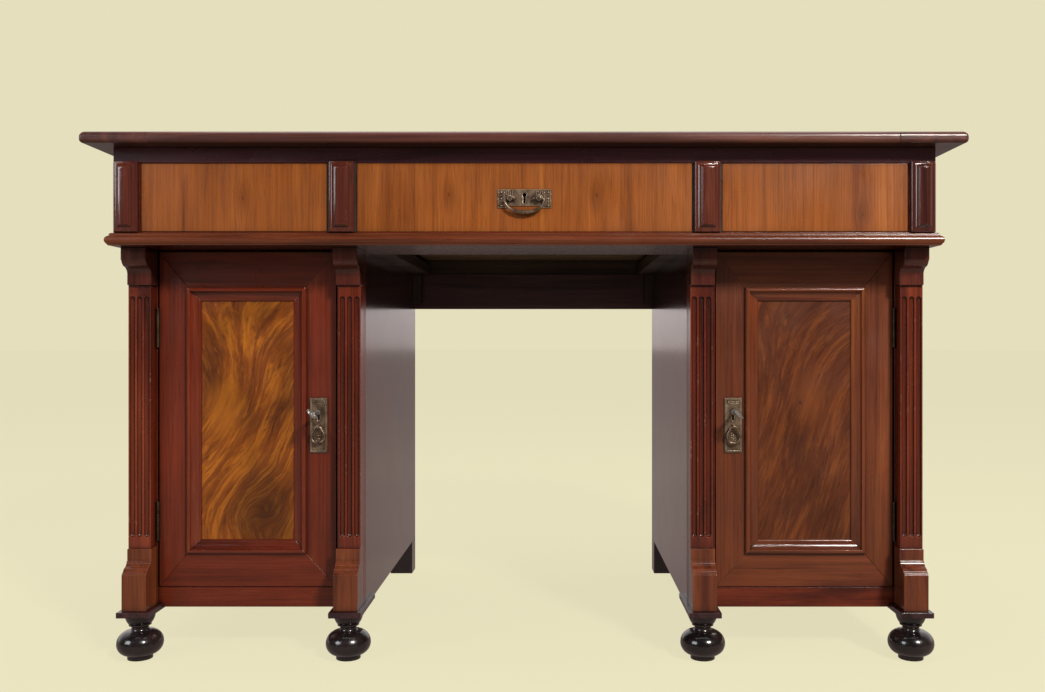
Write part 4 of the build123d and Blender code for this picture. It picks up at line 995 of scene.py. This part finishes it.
crescent = bmesh.new()
drop = bail_top - bail_low[2] - BAIL_LOWEST_RADIUS
half_width = bail_high[0] - BAIL_WIRE
turn_x = half_width - BAIL_TURN
turn_z = bail_top - BAIL_TURN
end_step = BAIL_END_LENGTH / BAIL_END_STEPS
path = [
    (turn_x - BAIL_END_LENGTH + end_step * step, bail_axis, bail_top)
    for step in range(BAIL_END_STEPS)
]
path += arc((turn_x, turn_z), BAIL_TURN, BAIL_TURN, 90, 0, BAIL_TURN_STEPS, bail_axis)
path += arc((0, turn_z), half_width, drop - BAIL_TURN, 0, -180, BAIL_ARC_STEPS, bail_axis)[1:-1]
path += arc((-turn_x, turn_z), BAIL_TURN, BAIL_TURN, 180, 90, BAIL_TURN_STEPS, bail_axis)
path += [(-x, y, z) for x, y, z in reversed(path[:BAIL_END_STEPS])]
thickness = [
    BAIL_END_RADIUS + BAIL_SWELL * max(0.0, 1 - (abs(point[0]) / half_width) ** 2) ** 1.5
    if point[2] < bail_top - BAIL_TURN / 2
    else BAIL_END_RADIUS
    for point in path
]
rope(crescent, path, 0.0, radii=thickness, depth=BAIL_FLATNESS)
brass_piece("bail_crescent", crescent, "bail_handle", brass, replace=True)

# The door plates: two rules near the top, given as level below it and radius, a keyhole, a
# dish behind the ring with a flower in it, and a pin in each corner.
PLATE_RULES = ((0.0062, 0.0009), (0.0082, 0.0006))
RULE_SHARE = 0.8
KEYHOLE_BELOW_TOP = 0.022
DISH_BELOW_RING = 0.002
DISH_HALF_WIDTH = 0.0068
DISH_HALF_HEIGHT = 0.0098
DISH_ROD = 0.0006
PETAL_COUNT = 8
PETAL_ASIDE = 0.0034
PETAL_ABOVE = 0.0052
PETAL = (0.0013, 0.0007, 0.0017)
FLOWER_HEART = (0.0018, 0.0011, 0.0022)
PIN_INSET = 0.0048
PIN_BELOW_TOP = 0.0042
PIN = (0.0013, 0.0009, 0.0013)

for side in ("left", "right"):
    low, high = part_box(f"{side}_escutcheon")
    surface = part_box(f"{side}_door_frame")[0][1] - PLATE_THICKNESS
    middle_x = (low[0] + high[0]) / 2
    half = (high[0] - low[0]) / 2
    ring_low, ring_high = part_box(f"{side}_ring_pull")
    relief = bmesh.new()
    for level, size in PLATE_RULES:
        rope(
            relief,
            [
                (middle_x + half * RULE_SHARE * (step / 4 - 1), surface, high[2] - level)
                for step in range(9)
            ],
            size,
        )
    keyhole_rim(relief, middle_x, high[2] - KEYHOLE_BELOW_TOP, surface)
    dish_level = (ring_low[2] + ring_high[2]) / 2 - DISH_BELOW_RING
    dish = arc((middle_x, dish_level), DISH_HALF_WIDTH, DISH_HALF_HEIGHT, 0, 350, 35, surface)
    rope(relief, dish, DISH_ROD, closed=True)
    for petal in range(PETAL_COUNT):
        angle = 2 * math.pi * petal / PETAL_COUNT
        petal_x = middle_x + PETAL_ASIDE * math.cos(angle)
        dome(relief, (petal_x, surface, dish_level + PETAL_ABOVE * math.sin(angle)), PETAL)
    dome(relief, (middle_x, surface, dish_level), FLOWER_HEART)
    for hand in (-1, 1):
        for level in (high[2] - PIN_BELOW_TOP, low[2] + PIN_INSET):
            dome(relief, (middle_x + hand * (half - PIN_INSET), surface, level), PIN)
    brass_piece(f"{side}_escutcheon_relief", relief, f"{side}_escutcheon", brass)

# ------------------------------------------------------------------ Studio

bpy.context.scene.view_settings.view_transform = "Standard"

BACKDROP = (0.783, 0.738, 0.509)

# The light that falls on the wood, and what its polish mirrors: a dim room in front of
# the desk and a pale wall far behind it, brightest a little above the floor.
ROOM_LIGHT = (0.34, 0.335, 0.34)
DIM_ROOM = 0.07
PALE_WALL = 0.90
WALL_BEGINS = -0.1
WALL_FULL = 0.5
WALL_AT_FLOOR = (0.62, 0.52, 0.50)
WALL_BRIGHT = (1.0, 0.95, 0.95)
WALL_TOP = (0.70, 0.66, 0.68)
WALL_BRIGHT_HEIGHT = 0.13
WALL_TOP_HEIGHT = 0.6

world = bpy.data.worlds.new("studio")
bpy.context.scene.world = world
world.use_nodes = True


def light_the_world():
    """A flat backdrop for the eye, even light, and a dim room with a pale far wall in gloss."""
    shader = Shader.__new__(Shader)
    shader.tree = world.node_tree
    shader.tree.nodes.clear()
    output = shader.tree.nodes.new("ShaderNodeOutputWorld")
    rays = shader.tree.nodes.new("ShaderNodeLightPath")
    direction = shader.tree.nodes.new("ShaderNodeTexCoord").outputs["Generated"]
    _, depth, height = shader.separate(direction)
    rising = shader.ramp(
        height,
        ((0.0, WALL_AT_FLOOR), (WALL_BRIGHT_HEIGHT, WALL_BRIGHT), (WALL_TOP_HEIGHT, WALL_TOP)),
    )
    far_wall = shader.span(
        depth, WALL_BEGINS, WALL_FULL, DIM_ROOM, PALE_WALL, smooth=True
    )
    reflected = shader.vector_math("MULTIPLY", rising, shader.combine(far_wall, far_wall, far_wall))
    lit = shader.mix(rays.outputs["Is Glossy Ray"], ROOM_LIGHT, reflected)
    seen = shader.mix(rays.outputs["Is Camera Ray"], lit, BACKDROP)
    background = shader.tree.nodes.new("ShaderNodeBackground")
    shader.link(seen, background.inputs["Color"])
    shader.link(background.outputs[0], output.inputs["Surface"])


light_the_world()

# The floor glows like the backdrop for the eye, so that its far edge doesn't show.
FLOOR_REACH = 60.0
FLOOR_ALBEDO = 0.11
FLOOR_GLOW = 0.94
FLOOR_BOUNCE = 0.35
FLOOR_IN_GLOSS = 0.5
FLOOR_MIRRORED = (0.42, 0.31, 0.30)
FLOOR_MOTTLE = 0.97


def studio_floor():
    """A wide pale floor that carries a light shadow and meets the backdrop without a line."""
    mesh = bpy.data.meshes.new("studio_floor")
    work = bmesh.new()
    bmesh.ops.create_circle(work, cap_ends=True, radius=FLOOR_REACH, segments=64)
    work.to_mesh(mesh)
    work.free()
    floor = bpy.data.objects.new("studio_floor", mesh)
    bpy.context.scene.collection.objects.link(floor)
    shader = Shader("studio_paper")
    grain = shader.noise(shader.position, scale=3, detail=3)
    pale = tuple(FLOOR_ALBEDO * value for value in BACKDROP)
    rays = shader.tree.nodes.new("ShaderNodeLightPath")
    glow = shader.math("MULTIPLY", rays.outputs["Is Camera Ray"], FLOOR_GLOW)
    bounce = shader.math("MULTIPLY", rays.outputs["Is Diffuse Ray"], FLOOR_BOUNCE)
    sheen = shader.math("MULTIPLY", rays.outputs["Is Glossy Ray"], FLOOR_IN_GLOSS)
    shader.set(
        Base_Color=shader.mix(grain, pale, tuple(FLOOR_MOTTLE * value for value in pale)),
        Roughness=1.0,
        Specular_IOR_Level=0.0,
        Emission_Color=shader.mix(rays.outputs["Is Glossy Ray"], BACKDROP, FLOOR_MIRRORED),
        Emission_Strength=shader.math("ADD", shader.math("ADD", glow, bounce), sheen),
    )
    mesh.materials.append(shader.material)


studio_floor()


def soft_light(name, place, target, size, power, colour=(1, 1, 1)):
    lamp = bpy.data.lights.new(name, "AREA")
    lamp.shape = "RECTANGLE"
    lamp.size, lamp.size_y = size
    lamp.energy = power
    lamp.color = colour
    light = bpy.data.objects.new(name, lamp)
    light.location = place
    light.rotation_euler = (Vector(target) - Vector(place)).to_track_quat("-Z", "Y").to_euler()
    bpy.context.scene.collection.objects.link(light)


middle = (0, 0, 0.45)
soft_light("key_light", (1.9, -3.1, 2.7), middle, (0.6, 0.6), 176, (1.0, 0.95, 0.89))
soft_light("fill_light", (-3.0, -2.6, 1.9), middle, (1.6, 1.6), 48, (0.95, 0.96, 1.0))
soft_light("top_light", (0, 0.3, 3.4), middle, (3.0, 2.4), 50)

# ------------------------------------------------------------------ Camera

IMAGE_WIDTH = 1045
CAMERA_FROM_FRONT = 1.417
CAMERA_ASIDE = 0.0436
CAMERA_HEIGHT = 0.483
SENSOR_WIDTH = 36
LENS = 33.86
SHIFT_ASIDE = -31.5
SHIFT_UP = -4
camera_data = bpy.data.cameras.new("camera")
camera_data.sensor_width = SENSOR_WIDTH
camera_data.lens = LENS
camera_data.shift_x = SHIFT_ASIDE / IMAGE_WIDTH
camera_data.shift_y = SHIFT_UP / IMAGE_WIDTH
camera = bpy.data.objects.new("camera", camera_data)
camera.location = (CAMERA_ASIDE, desk_front - CAMERA_FROM_FRONT, CAMERA_HEIGHT)
camera.rotation_euler = (math.radians(90), 0, 0)
bpy.context.scene.collection.objects.link(camera)
bpy.context.scene.camera = camera
